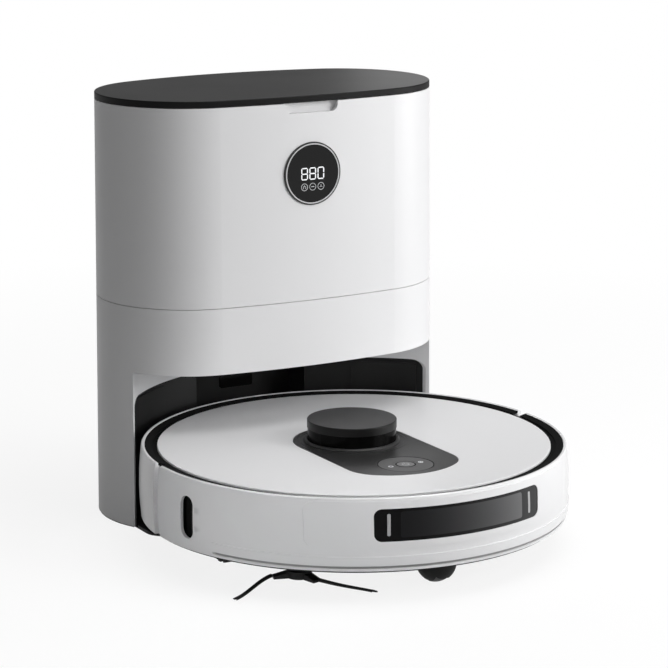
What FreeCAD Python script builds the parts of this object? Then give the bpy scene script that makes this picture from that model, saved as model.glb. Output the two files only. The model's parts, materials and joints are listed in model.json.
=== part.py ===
import FreeCAD, Part
import math
import os

# A robot vacuum cleaner parked at its self-emptying dock.  Millimetres, +Z up.
# The origin is on the floor at the middle of the dock's plan.  The front of both
# machines faces -Y, and the robot stands in front of the dock's curved bay.

# ----------------------------------------------- sizes both machines share
ROBOT_R = 175.0          # widest line of the robot's side wall
DOCKED_BACK = 23.7       # reach of the parked robot behind the dock's middle
ROBOT_Y = DOCKED_BACK - ROBOT_R
BAY_GAP = 9.0            # room round the parked robot
BAY_R = ROBOT_R + BAY_GAP

# ---------------------------------------------------------------- dock sizes
DOCK_HALF_W = 149.2      # half width of the plan at the lid
DOCK_FRONT = 82.0        # reach of the plan towards the front
DOCK_BACK = 86.6         # reach of the plan towards the back
DOCK_END_R = 77.5        # radius of the plan's rounded ends
DOCK_H = 358.3           # height to the top of the lid
DRAFT = 3.0              # how much the plan grows on every side down to the floor
SHELL_WALL = 3.0
LID_T = 5.4
LID_GAP = 0.4
SEAM_Z = 188.0           # joint line between the lower and the upper shell
SEAM_GAP = 0.5
OVERHANG_Z = 133.0       # underside of the body above the bay
BAY_WALL = 3.0
MOUTH_HALF_W = 140.8     # opening in the bay wall
MOUTH_TOP = 110.5
MOUTH_R = 9.0
LINER_GAP = 0.3
LINER_WALL = 2.4
POCKET_HALF_W = 53.0     # recess in the liner that holds the dust port
POCKET_DEPTH = 21.0
PANEL_STEP = 1.0         # raised outer panels of the liner
PANEL_DEG = 29.2
PAD_T = 0.8              # rubber pads under the dock
PAD_SEAT = 0.8
FLANGE_T = 1.0           # dark edge of the base plate below the white shell
BASE_T = 3.2
TRAY_T = 2.8
TRAY_GAP = 0.4
TRAY_FRONT = -72.0
TRAY_HALF_W = 142.5
TRAY_R = 16.0

# lid hinge
PIN_R = 1.5
PIN_FIT = 0.05           # running clearance of every shaft in its bore
KNUCKLE_R = 4.0
HINGE_DROP = 11.3        # pin axis below the lid's top
HINGE_INSET = 1.6        # pin axis in front of the plan's back
HINGE_HALF_W = 60.0
LID_KNUCKLE_HALF_W = 33.0
HINGE_GAP = 1.2

# finger recess and display
RECESS_HALF_W = 24.5
RECESS_H = 8.5
RECESS_DEPTH = 5.0
DISPLAY_DROP = 64.3      # middle of the display below the lid's top
DISPLAY_Z = DOCK_H - DISPLAY_DROP
DISPLAY_R = 26.0
DISPLAY_RIM = 1.1
DISPLAY_RING = 0.9
DISPLAY_PROUD = 0.9

# dust path and suction unit of the dock
PORT_Z = 52.0
PORT_HALF_W = 30.0
PORT_H = 26.0
DUCT_R = 10.5
DUCT_WALL = 1.6
DUCT_Y = 72.2
WELL_X0 = -95.0          # dust bag well
WELL_X1 = 75.0
WELL_HALF_D = 54.0
WELL_BOTTOM = 206.0
WELL_WALL = 2.2
BAG_BACK_Y = 45.8        # back of the bag, clear of the collar's rails
DECK_DROP = 20.3         # top of the deck below the lid's top
DECK_Z = DOCK_H - DECK_DROP
COLLAR_DROP = 48.0       # middle of the bag's mouth below the deck
COLLAR_Z = DECK_Z - COLLAR_DROP
FAN_R = 46.0
FAN_WALL = 3.0
FAN_X = -10.0
IMPELLER_R = 38.0
IMPELLER_BLADES = 9
GRILLE_X0 = -84.0
GRILLE_X1 = -16.0
GRILLE_Z0 = 62.0
GRILLE_Z1 = 126.0
GRILLE_GAP = 0.25
LOUVRES = 11
INLET_X = 84.0
INLET_Z = 26.0

# --------------------------------------------------------------- robot sizes
TOP_TUCK = 2.0           # the side wall leans in towards its top
SKIRT_TUCK = 1.3         # and towards its bottom
RIM_R = ROBOT_R - TOP_TUCK
SKIRT_R = ROBOT_R - SKIRT_TUCK
RIM_Z = 84.3
RIM_W = 2.8
RIM_T = 3.3
RIM_ROUND = 0.9
LEDGE = 0.8              # seat of the dark ring inside the rim
WAIST_Z = 50.0           # height of the widest line of the side wall
SIDE_WALL = 2.4
SIDE_BOTTOM = 27.0
BUMPER_DEG = 91.5        # half angle of the bumper
SIDE_DEG = 94.9          # the rear side wall starts here
TONGUE_DEG = 5.0
BUMPER_TRAVEL = 4.0
SLIDE_GAP = 0.3          # room left at the end of the bumper's travel
HOOK_REACH = 8.0         # guide hooks and lip inside the bumper's bottom
HOOK_W = 9.0
HOOK_H = 12.5
LIP_T = 1.6
RING_W = 10.2            # dark ring and gap between the rim and the cover
COVER_R = RIM_R - RIM_W - RING_W
COVER_Z = 83.2
COVER_T = 2.7
COVER_GAP = 0.3
RING_Z = 81.5
TRIM_T = 2.4             # from the rim's top down to the seat of the dark ring
TRIM_DROP = 0.5
TRIM_SLOPE = 1.1
DECK_FLOOR = 1.7
CHASSIS_Z = 12.0         # ground clearance
CHASSIS_T = 2.5
CHASSIS_EDGE = 2.3       # edge of the floor pan inside the skirt
CHASSIS_R = SKIRT_R - CHASSIS_EDGE
CHASSIS_EDGE_Z = 25.4
BELLY_RISE = 47.4        # width of the rising cone round the flat underside
CHASSIS_FLAT_R = CHASSIS_R - BELLY_RISE
SKIRT_TOP = 26.2
FRAME_ROOM = 13.2        # between the skirt and the frame wall
FRAME_R = SKIRT_R - FRAME_ROOM
FRAME_WALL = 2.5

# sensor window, panel and rib of the bumper
WINDOW_DEG = 25.0
WINDOW_Z0 = 50.5
WINDOW_Z1 = 76.0
WINDOW_R = 6.0
PANEL2_DEG = 42.5
PANEL2_Z0 = 45.3
PANEL2_Z1 = 82.0
PANEL2_R = 8.0
PANEL2_PROUD = 0.5
SKIN_BITE = 1.0          # how deep raised parts root in the side wall
BAR_DEG = 21.2
BAR_W = 2.6
BAR_Z0 = 54.9
BAR_Z1 = 72.0
RIB_DEG = 68.3
RIB_Z0 = 31.2
RIB_Z1 = 38.8
RIB_PROUD = 0.8
GROOVE_H = 2.0
GROOVE_DEPTH = 0.9
SLOT_DEG = -77.6
SLOT_W = 15.0
SLOT_Z0 = 36.0
SLOT_Z1 = 70.3
SLOT_RIM_W = 1.3
SLOT_RIM_PROUD = 0.35

# control island, buttons and turret
ISLAND_HALF_W = 48.0
ISLAND_CORNER_R = 30.0
ISLAND_CORNER_Y = -75.0
ISLAND_REACH = 36.5
ISLAND_Z = 83.2
TURRET_Y = 3.2
TURRET_R = 36.6
TURRET_Z = 101.8
CAP_H = 6.8
WINDOW_RING_R = 36.2
WINDOW_RING_WALL = 1.8
BASE_RING_R = 39.4
BASE_RING_H = 2.2
ISLAND_RINGS = (42.4, 45.2)   # fine grooves round the turret
ISLAND_RING_W = 0.7
BUTTON_Y = -82.0
PAD_R = 22.5
POWER_R = 7.5
BUTTON_GAP = 0.3
BUTTON_T = 2.0
HEAD_R = 27.0
HEAD_PULLEY_R = 24.6
MOTOR_PULLEY_R = 4.4
MOTOR_X = 46.0
BELT_T = 1.2
BELT_Z0 = 74.6
BELT_Z1 = 76.8

# wheels
WHEEL_R = 35.0
TYRE_T = 3.5
WHEEL_X0 = 101.0
WHEEL_X1 = 125.0
ARM_X0 = 93.0
ARM_X1 = 98.0
ARM_Y = 42.0             # suspension pivot behind the axle
ARM_Z = 40.0
AXLE_R = 4.0
GEARBOX_R = 15.5
GEARBOX_X0 = 62.0
GEARBOX_ROOF = 59.0
CASTER_Y = -124.0
CASTER_TRAIL = 5.0
CASTER_CUP_R = 16.0
CASTER_R = 10.5
CASTER_TOP = 24.0        # top of the swivel cup
CASTER_W = 13.0

# brushes
BRUSH_Y = 52.0
BRUSH_Z = 21.0
BRUSH_R = 19.6
BRUSH_CORE_R = 9.0
BRUSH_HALF_L = 76.0
BRUSH_FINS = 6
BRUSH_TWIST = 50.0
BRUSH_ROOM = 2.6
GUARD_T = 2.6
BOARD_Z = 60.0
SIDE_BRUSH_X = -97.0
SIDE_BRUSH_Y = -84.0
SIDE_BRUSH_R = 64.5
SIDE_BRUSH_HUB_R = 10.0
BRISTLE_R0 = 22.2
BRISTLE_SWEEP = 27.0
SIDE_BRUSH_ARMS = 3
CONTACT_DEG = 24.0
CONTACT_Z = 35.0
CONTACT_H = 9.0
CONTACT_DEG_W = 6.0

UP = FreeCAD.Vector(0, 0, 1)
ALONG_X = FreeCAD.Vector(1, 0, 0)
ALONG_Y = FreeCAD.Vector(0, 1, 0)
ORIGIN = FreeCAD.Vector(0, 0, 0)
BIG = 400.0


# ------------------------------------------------------------------- helpers
def vec(x, y, z=0.0):
    return FreeCAD.Vector(x, y, z)


def cyl(radius, z0, z1, x=0.0, y=0.0):
    return Part.makeCylinder(radius, z1 - z0, vec(x, y, z0), UP)


def cyl_x(radius, x0, x1, y, z):
    return Part.makeCylinder(radius, x1 - x0, vec(x0, y, z), ALONG_X)


def cyl_y(radius, y0, y1, x, z):
    return Part.makeCylinder(radius, y1 - y0, vec(x, y0, z), ALONG_Y)


def tube(outer, inner, z0, z1, x=0.0, y=0.0):
    return cyl(outer, z0, z1, x, y).cut(cyl(inner, z0, z1, x, y))


def block(x0, x1, y0, y1, z0, z1):
    return Part.makeBox(x1 - x0, y1 - y0, z1 - z0, vec(x0, y0, z0))


def polygon(points):
    return Part.makePolygon(points + [points[0]])


def rounded_rect(x0, x1, y0, y1, radius, z0, z1):
    """An upright slab with rounded vertical corners."""
    slab = block(x0, x1, y0, y1, z0, z1)
    corners = [e for e in slab.Edges if abs(e.tangentAt(e.FirstParameter).z) > 0.9]
    return slab.makeFillet(radius, corners)


def rounded_front(x0, x1, z0, z1, radius, y0, y1):
    """A slab along Y whose four long corners are rounded."""
    slab = block(x0, x1, y0, y1, z0, z1)
    corners = [e for e in slab.Edges if abs(e.tangentAt(e.FirstParameter).y) > 0.9]
    return slab.makeFillet(radius, corners)


def revolve(points, centre_x=0.0, centre_y=0.0):
    """Turn a closed outline of (radius, height) points about a vertical axis."""
    face = Part.Face(polygon([vec(r, 0, z) for r, z in points]))
    solid = face.revolve(ORIGIN, UP, 360)
    solid.translate(vec(centre_x, centre_y, 0))
    return solid


def sector(deg0, deg1, outer, inner, z0, z1):
    """Part of a ring; angles run from the front (-Y) towards +X."""
    part = Part.makeCylinder(outer, z1 - z0, vec(0, 0, z0), UP, deg1 - deg0)
    part.rotate(ORIGIN, UP, deg0 - 90.0)
    if inner > 0:
        part = part.cut(cyl(inner, z0 - 1, z1 + 1))
    return part


def on_circle(deg, radius, z=0.0):
    a = math.radians(deg)
    return vec(radius * math.sin(a), -radius * math.cos(a), z)


def placed(shape, offset):
    moved = shape.copy()
    moved.translate(offset)
    return moved


def mirrored_x(shape):
    return shape.mirror(ORIGIN, ALONG_X)


def write(node, shape):
    if shape.ShapeType == "Compound" and len(shape.Solids) == 1:
        shape = shape.Solids[0]
    shape.exportStep("parts/" + node + ".step")


def write_robot(node, shape):
    write(node, placed(shape, vec(0, ROBOT_Y, 0)))


# ------------------------------------------------------------ the dock's plan
def flank(half_w, end_r, reach):
    """Radius of the long arc that is tangent to both rounded ends."""
    end_x = half_w - end_r
    return (end_x ** 2 + reach ** 2 - end_r ** 2) / (2.0 * (reach - end_r))


def grow_at(z):
    return DRAFT * (1.0 - z / DOCK_H)


def plan_wire(grow, z):
    """The dock's oval outline, made of four tangent arcs."""
    end_x = DOCK_HALF_W - DOCK_END_R
    end_r = DOCK_END_R + grow
    joints = []
    for reach, side in ((DOCK_FRONT, -1.0), (DOCK_BACK, 1.0)):
        radius = flank(DOCK_HALF_W, DOCK_END_R, reach)
        centre = radius - reach
        length = math.hypot(end_x, centre)
        joints.append((end_x + end_r * end_x / length, side * end_r * centre / length))
    (fx, fy), (bx, by) = joints
    half = DOCK_HALF_W + grow
    arcs = [
        Part.Arc(vec(-fx, fy, z), vec(0, -DOCK_FRONT - grow, z), vec(fx, fy, z)),
        Part.Arc(vec(fx, fy, z), vec(half, 0, z), vec(bx, by, z)),
        Part.Arc(vec(bx, by, z), vec(0, DOCK_BACK + grow, z), vec(-bx, by, z)),
        Part.Arc(vec(-bx, by, z), vec(-half, 0, z), vec(-fx, fy, z)),
    ]
    return Part.Wire([a.toShape() for a in arcs])


def plan_solid(z0, z1, inset=0.0):
    """The drafted oval body between two heights, inset from the outer skin."""
    wires = [plan_wire(grow_at(z) - inset, z) for z in (z0, z1)]
    return Part.makeLoft(wires, True, True)


def plan_plate(z0, z1, grow):
    return Part.Face(plan_wire(grow, z0)).extrude(vec(0, 0, z1 - z0))


def bay_cut(radius, top, bottom=-10.0):
    return cyl(radius, bottom, top, 0, ROBOT_Y)


LID_Z = DOCK_H - LID_T
SHELL_TOP = LID_Z - LID_GAP
HINGE_Y = DOCK_BACK - HINGE_INSET
HINGE_Z = DOCK_H - HINGE_DROP
BASE_TOP = PAD_T + BASE_T
SHELL_Z = PAD_T + FLANGE_T
LINER_R = BAY_R + BAY_WALL + LINER_GAP
POCKET_Y = ROBOT_Y + LINER_R + POCKET_DEPTH
POCKET_BACK = POCKET_Y + LINER_WALL
END_X = DOCK_HALF_W - DOCK_END_R
SCREW_R = 2.0
SCREW_HEAD_R = 3.6
SCREW_HEAD_T = 1.4
BOSS_R = 5.0
BOSS_H = 18.0
BOSS_DEG = 47.0
FOOT_R = 9.0
FOOT_SPOTS = [(-112.0, 8.0), (112.0, 8.0), (-50.0, 68.0), (50.0, 68.0), (0.0, 0.0)]


def boss_spots():
    """Screw bosses that grow out of the inside of the shell's rear wall."""
    reach = DOCK_END_R - BOSS_R + 1.5
    a = math.radians(BOSS_DEG)
    ends = [(side * (END_X + reach * math.cos(a)), reach * math.sin(a)) for side in (-1.0, 1.0)]
    return ends + [(side * 34.0, DOCK_BACK - BOSS_R - 0.6) for side in (-1.0, 1.0)]


# ---------------------------------------------------------------- dock pieces
def at_bosses(radius, z0, z1):
    return Part.makeCompound([cyl(radius, z0, z1, x, y) for x, y in boss_spots()])


def grille_slab(gap):
    return rounded_front(GRILLE_X0 + gap, GRILLE_X1 - gap, GRILLE_Z0 + gap,
                         GRILLE_Z1 - gap, 6.0, DOCK_BACK - 25.0, DOCK_BACK + 20.0)


def inlet_slab(gap, y0=40.0):
    return rounded_front(INLET_X - 12.0 + gap, INLET_X + 12.0 - gap, INLET_Z - 8.0 + gap,
                         INLET_Z + 8.0 - gap, 3.0, y0, DOCK_BACK + 20.0)


def dock_lower_shell():
    """Drafted oval shell with the curved bay scooped out of its front."""
    outer = plan_solid(SHELL_Z, SEAM_Z).cut(bay_cut(BAY_R, OVERHANG_Z))
    core = plan_solid(SHELL_Z - 5.0, SEAM_Z + 5.0, SHELL_WALL)
    core = core.cut(bay_cut(BAY_R + BAY_WALL, OVERHANG_Z + SHELL_WALL))
    shell = outer.cut(core)
    bosses = [cyl(BOSS_R, BASE_TOP, BASE_TOP + BOSS_H, x, y) for x, y in boss_spots()]
    bosses = bosses[0].multiFuse(bosses[1:]).common(plan_solid(BASE_TOP, SEAM_Z, 1.0))
    shell = shell.fuse(bosses).cut(at_bosses(SCREW_R, BASE_TOP - 1.0, BASE_TOP + BOSS_H - 2.0))
    mouth = rounded_front(-MOUTH_HALF_W, MOUTH_HALF_W, -40.0, MOUTH_TOP, MOUTH_R, -90.0, BIG)
    shell = shell.cut(mouth.common(bay_cut(BAY_R + BAY_WALL + 0.2, BIG, -50.0)))
    lip_out = plan_solid(SEAM_Z, SEAM_Z + 6.0, SHELL_WALL + 0.15)
    lip_low = plan_solid(SEAM_Z - 6.0, SEAM_Z, SHELL_WALL - 0.5)
    lip_in = plan_solid(SEAM_Z - 6.0, SEAM_Z + 6.0, SHELL_WALL + 2.0)
    shell = shell.fuse(lip_out.fuse(lip_low).cut(lip_in))
    shell = shell.cut(grille_slab(0.0)).cut(inlet_slab(0.0))
    return shell.removeSplitter()


def dock_upper_shell():
    """Tall drafted shell, open at the top, with hinge knuckles at the back."""
    z0 = SEAM_Z + SEAM_GAP
    shell = plan_solid(z0, SHELL_TOP).cut(plan_solid(z0 - 2.0, SHELL_TOP + 2.0, SHELL_WALL))
    front = -DOCK_FRONT
    pad = rounded_front(-RECESS_HALF_W - 4.0, RECESS_HALF_W + 4.0, SHELL_TOP - RECESS_H - 4.0,
                        SHELL_TOP + 8.0, 4.0, front + 1.0, front + RECESS_DEPTH + 2.5)
    shell = shell.fuse(pad.common(block(-BIG, BIG, -BIG, BIG, 0, SHELL_TOP)))
    finger = rounded_front(-RECESS_HALF_W, RECESS_HALF_W, SHELL_TOP - RECESS_H,
                           SHELL_TOP + 20.0, 6.0, front - 10.0, front + RECESS_DEPTH)
    shell = shell.cut(finger)
    shell = shell.cut(cyl_y(DISPLAY_R + 0.2, -DOCK_FRONT - 20.0, -DOCK_FRONT + 20.0,
                            0, DISPLAY_Z))
    notch = block(-HINGE_HALF_W - HINGE_GAP, HINGE_HALF_W + HINGE_GAP, HINGE_Y - 7.0,
                  HINGE_Y + 20.0, HINGE_Z - KNUCKLE_R - 0.8, SHELL_TOP + 2.0)
    shell = shell.cut(notch)
    low = HINGE_Z - 16.0
    for side in (-1.0, 1.0):
        x0 = LID_KNUCKLE_HALF_W + HINGE_GAP
        length = HINGE_HALF_W - x0
        x_start = x0 if side > 0 else -HINGE_HALF_W
        knuckle = cyl_x(KNUCKLE_R, x_start, x_start + length, HINGE_Y, HINGE_Z)
        web = block(x_start, x_start + length, HINGE_Y - KNUCKLE_R, HINGE_Y - 0.5, low, HINGE_Z)
        shell = shell.fuse(knuckle.fuse(web))
    shell = shell.cut(cyl_x(PIN_R, -HINGE_HALF_W, HINGE_HALF_W, HINGE_Y, HINGE_Z))
    return shell.removeSplitter()


def dock_lid():
    """Flat oval lid with a locating rim and its hinge knuckle."""
    plate = plan_plate(LID_Z, DOCK_H, 0.0)
    edges = [e for e in plate.Edges if e.BoundBox.ZMin > DOCK_H - 0.01]
    plate = plate.makeFillet(0.9, edges)
    rim_drop = 3.4
    rim = plan_plate(LID_Z - rim_drop, LID_Z + 0.5, -SHELL_WALL - 1.8)
    rim = rim.cut(plan_plate(LID_Z - rim_drop - 1.0, LID_Z + 1.0, -SHELL_WALL - 3.8))
    rim = rim.cut(block(-BIG, BIG, DOCK_BACK - 34.0, BIG, 0, BIG))
    rim = rim.cut(block(-RECESS_HALF_W - 6.0, RECESS_HALF_W + 6.0, -BIG, 0, 0, BIG))
    knuckle = cyl_x(KNUCKLE_R, -LID_KNUCKLE_HALF_W, LID_KNUCKLE_HALF_W, HINGE_Y, HINGE_Z)
    web = block(-LID_KNUCKLE_HALF_W, LID_KNUCKLE_HALF_W, HINGE_Y - KNUCKLE_R, HINGE_Y,
                HINGE_Z, LID_Z + 0.5)
    lid = plate.fuse(rim).fuse(knuckle).fuse(web)
    lid = lid.cut(cyl_x(PIN_R + PIN_FIT, -BIG, BIG, HINGE_Y, HINGE_Z))
    return lid.removeSplitter()


def lid_hinge_pin():
    return cyl_x(PIN_R, -HINGE_HALF_W, HINGE_HALF_W, HINGE_Y, HINGE_Z)


def dock_base_plate():
    """Bottom plate and parking tray, with seats for pads and screws."""
    flange = plan_plate(PAD_T, SHELL_Z, grow_at(PAD_T) - 0.6)
    flange = flange.cut(cyl(BAY_R + 1.0, 0, 50.0, 0, ROBOT_Y))
    plate = plan_plate(SHELL_Z - 0.5, BASE_TOP, grow_at(BASE_TOP) - SHELL_WALL - TRAY_GAP)
    plate = flange.fuse(plate)
    tray_top = PAD_T + TRAY_T
    plate = plate.cut(cyl(BAY_R + BAY_WALL, tray_top, 50.0, 0, ROBOT_Y))
    inner = MOUTH_HALF_W - TRAY_GAP
    tray = rounded_rect(-TRAY_HALF_W, TRAY_HALF_W, TRAY_FRONT, 30.0, TRAY_R, PAD_T, tray_top)
    for side in (-1.0, 1.0):
        outer = side * BIG
        tray = tray.cut(block(min(side * inner, outer), max(side * inner, outer), -40.0, BIG,
                              SHELL_Z, BIG))
    ramp = polygon([vec(-BIG, TRAY_FRONT - 1, PAD_T + 0.8), vec(-BIG, TRAY_FRONT + 14, tray_top),
                    vec(-BIG, TRAY_FRONT + 14, BIG), vec(-BIG, TRAY_FRONT - 1, BIG)])
    tray = tray.cut(Part.Face(ramp).extrude(vec(2 * BIG, 0, 0)))
    plate = plate.fuse(tray)
    stub = tube(BAY_R + BAY_WALL + TRAY_GAP, BAY_R - TRAY_GAP, SHELL_Z, 50.0, 0, ROBOT_Y)
    plate = plate.cut(stub.cut(block(-inner, inner, -BIG, BIG, 0, 60.0)))
    for i in range(5):
        y = TRAY_FRONT + 22.0 + i * 9.0
        half = TRAY_HALF_W - 26.0
        plate = plate.fuse(block(-half, half, y, y + 2.0, tray_top - 0.2, tray_top + 0.7))
    seats = [cyl(FOOT_R + 0.3, PAD_T - 1, PAD_T + PAD_SEAT, x, y) for x, y in FOOT_SPOTS]
    plate = plate.cut(Part.makeCompound(seats))
    plate = plate.cut(at_bosses(SCREW_R + 0.2, PAD_T - 1, BASE_TOP + 1))
    plate = plate.cut(at_bosses(SCREW_HEAD_R + 0.3, PAD_T - 1, PAD_T + SCREW_HEAD_T + 0.2))
    return plate.removeSplitter()


def dock_feet():
    return Part.makeCompound([cyl(FOOT_R, 0, PAD_T + PAD_SEAT, x, y) for x, y in FOOT_SPOTS])


def dock_screws():
    screws = []
    shoulder = PAD_T + SCREW_HEAD_T + 0.2
    for x, y in boss_spots():
        head = cyl(SCREW_HEAD_R, PAD_T + 0.2, shoulder, x, y)
        slot = block(x - 2.4, x + 2.4, y - 0.4, y + 0.4, PAD_T, PAD_T + 0.8)
        screws.append(head.fuse(cyl(SCREW_R, shoulder, BASE_TOP + BOSS_H - 6.0, x, y)).cut(slot))
    return Part.makeCompound(screws)


def liner_ring(radius0, radius1, z0, z1):
    """Ring about the parked robot, trimmed to the inside of the shell."""
    ring = tube(radius1, radius0, z0, z1, 0, ROBOT_Y)
    return ring.common(plan_solid(z0, z1, SHELL_WALL + LINER_GAP))


def alcove_liner():
    """Dark inner wall of the bay: curved panels, a deep port pocket and a foot."""
    z0 = BASE_TOP
    z1 = MOUTH_TOP + 8.0
    wall = liner_ring(LINER_R, LINER_R + LINER_WALL, z0, z1)
    wall = wall.fuse(liner_ring(LINER_R, LINER_R + 9.0, z0, z0 + 2.0))
    half = POCKET_HALF_W + LINER_WALL
    pocket = block(-half, half, ROBOT_Y + LINER_R - 40.0, POCKET_BACK, z0, z1)
    pocket = pocket.cut(cyl(LINER_R, z0 - 1, z1 + 1, 0, ROBOT_Y))
    hollow = block(-POCKET_HALF_W, POCKET_HALF_W, ROBOT_Y + LINER_R - 40.0, POCKET_Y,
                   z0 - 1, z1 - LINER_WALL)
    wall = wall.fuse(pocket).cut(hollow)
    for side in (-1.0, 1.0):
        step = sector(PANEL_DEG, 47.0, LINER_R + 0.5, LINER_R - PANEL_STEP, z0, MOUTH_TOP - 4.0)
        step.rotate(ORIGIN, UP, 180.0)
        step = step if side > 0 else mirrored_x(step)
        step = placed(step, vec(0, ROBOT_Y, 0))
        inner = MOUTH_HALF_W - 3.5
        wall = wall.fuse(step.common(block(-inner, inner, -BIG, BIG, 0, BIG)))
    wall = wall.cut(port_opening(0.0, POCKET_Y - 3.0, POCKET_Y + 10.0))
    wall = wall.cut(rounded_front(-16.2, 16.2, 84.8, 96.2, 2.0, POCKET_Y - 5, POCKET_Y + 10))
    for side in (-1.0, 1.0):
        wall = wall.cut(contact_bar(side, LINER_R + 8.0))
    return wall.removeSplitter()


def port_opening(grow, y0, y1):
    half_h = PORT_H / 2.0 + grow
    return rounded_front(-PORT_HALF_W - grow, PORT_HALF_W + grow, PORT_Z - half_h,
                         PORT_Z + half_h, 8.0 + grow, y0, y1)


def contact_bar(side, outer):
    """Bar of one charging contact, from the parked robot's skin to a given radius."""
    mid = 180.0 + side * CONTACT_DEG
    bar = sector(mid - CONTACT_DEG_W / 2.0, mid + CONTACT_DEG_W / 2.0, outer, ROBOT_R + 0.5,
                 CONTACT_Z - CONTACT_H / 2.0, CONTACT_Z + CONTACT_H / 2.0)
    return placed(bar, vec(0, ROBOT_Y, 0))


def charging_terminals():
    """Two sprung contacts that stand out of the liner towards the robot."""
    return Part.makeCompound([contact_bar(side, LINER_R + 6.0) for side in (-1.0, 1.0)])


def beacon_window():
    return rounded_front(-16.0, 16.0, 85.0, 96.0, 2.0, POCKET_Y - 0.6, POCKET_BACK)


def dust_port_seal():
    """Flexible mouthpiece with two bellows between the dock's port and the robot."""
    y_front = ROBOT_Y + ROBOT_R + 1.0
    length = (POCKET_BACK - y_front) / 5.0
    rings = []
    for i in range(5):
        grow = -0.4 if i == 0 or i % 2 else -2.6
        y1 = POCKET_BACK - length * i
        rings.append(port_opening(grow, y1 - length, y1))
    body = rings[0].multiFuse(rings[1:])
    return body.cut(port_opening(-5.6, y_front - 5.0, POCKET_BACK + 5.0)).removeSplitter()


def duct_flange(y0, y1):
    return port_opening(2.0, y0, y1)


def duct_path():
    """Elbow behind the port, riser along the back, elbow into the dust bag."""
    bend = DUCT_Y - POCKET_BACK - 2.0
    mid = bend * math.sqrt(0.5)
    y0 = DUCT_Y - bend
    start = vec(0, y0, PORT_Z)
    low = vec(0, DUCT_Y, PORT_Z + bend)
    high = vec(0, DUCT_Y, COLLAR_Z - bend)
    end = vec(0, y0, COLLAR_Z)
    low_mid = vec(0, y0 + mid, PORT_Z + bend - mid)
    high_mid = vec(0, y0 + mid, COLLAR_Z - bend + mid)
    edges = [Part.Arc(start, low_mid, low).toShape(),
             Part.LineSegment(low, high).toShape(),
             Part.Arc(high, high_mid, end).toShape()]
    return Part.Wire(edges), start, end


def dust_duct():
    """Riser pipe with a flange on the port and a spigot into the bag well."""
    path, start, end = duct_path()
    solids = []
    for radius in (DUCT_R, DUCT_R - DUCT_WALL):
        ring = Part.Wire(Part.makeCircle(radius, start, ALONG_Y))
        solids.append(path.makePipeShell([ring], True, False))
    skin, bore = solids
    flange = duct_flange(POCKET_BACK, start.y)
    spigot = cyl_y(DUCT_R, WELL_HALF_D - 1.0, end.y, 0, COLLAR_Z)
    skin = skin.fuse(flange).fuse(spigot)
    bore = bore.fuse(cyl_y(DUCT_R - DUCT_WALL, POCKET_BACK - 1, start.y, 0, PORT_Z))
    bore = bore.fuse(cyl_y(DUCT_R - DUCT_WALL, WELL_HALF_D - 5.0, end.y, 0, COLLAR_Z))
    return skin.cut(bore).removeSplitter()


def bag_bay():
    """Deck under the lid with the deep well that holds the dust bag."""
    deck_t = 2.5
    top_gap = 0.3
    deck = plan_plate(DECK_Z - deck_t, DECK_Z, -SHELL_WALL - top_gap)
    deck = deck.cut(block(-HINGE_HALF_W - 2.0, HINGE_HALF_W + 2.0, HINGE_Y - KNUCKLE_R - 1.0,
                          BIG, 0, BIG))
    well = rounded_rect(WELL_X0, WELL_X1, -WELL_HALF_D, WELL_HALF_D, 12.0, WELL_BOTTOM, DECK_Z)
    room = rounded_rect(WELL_X0 + WELL_WALL, WELL_X1 - WELL_WALL, -WELL_HALF_D + WELL_WALL,
                        WELL_HALF_D - WELL_WALL, 10.0, WELL_BOTTOM + WELL_WALL, DECK_Z + 5.0)
    bay = deck.fuse(well).cut(room)
    bay = bay.cut(cyl_y(DUCT_R + 0.15, 0, WELL_HALF_D + 5.0, 0, COLLAR_Z))
    for i in range(5):
        x = FAN_X - 24.0 + i * 12.0
        bay = bay.cut(rounded_rect(x - 3.0, x + 3.0, -22.0, 22.0, 2.9, 0, WELL_BOTTOM + 5.0))
    for side in (-1.0, 1.0):
        x = side * 40.0
        rail = block(x - 3.0, x + 3.0, WELL_HALF_D - WELL_WALL - 5.4, WELL_HALF_D - 1.0,
                     COLLAR_Z - 34.0, COLLAR_Z + 30.0)
        groove = block(-38.3, 38.3, WELL_HALF_D - WELL_WALL - 3.6, WELL_HALF_D - WELL_WALL,
                       COLLAR_Z - 30.0, BIG)
        bay = bay.fuse(rail.cut(groove))
    accessory = rounded_rect(WELL_X1 + 10.0, WELL_X1 + 46.0, -34.0, 34.0, 8.0, DECK_Z - 30.0,
                             DECK_Z - 0.5)
    pocket = rounded_rect(WELL_X1 + 12.0, WELL_X1 + 44.0, -32.0, 32.0, 6.0, DECK_Z - 28.0,
                          DECK_Z + 5.0)
    return bay.fuse(accessory).cut(pocket).removeSplitter()


def bag_collar():
    """Stiff card that slides into the rails and seals on the duct."""
    y1 = WELL_HALF_D - WELL_WALL - 0.5
    card = rounded_front(-38.0, 38.0, COLLAR_Z - 29.5, COLLAR_Z + 34.0, 4.0, y1 - 2.6, y1)
    card = card.fuse(cyl_y(DUCT_R + 4.0, BAG_BACK_Y + 0.1, y1 - 1.0, 0, COLLAR_Z))
    card = card.cut(cyl_y(DUCT_R + 0.4, 0, BIG, 0, COLLAR_Z))
    grip = rounded_front(-12.0, 12.0, COLLAR_Z + 22.0, COLLAR_Z + 29.0, 3.0, 0, BIG)
    return card.cut(grip)


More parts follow.
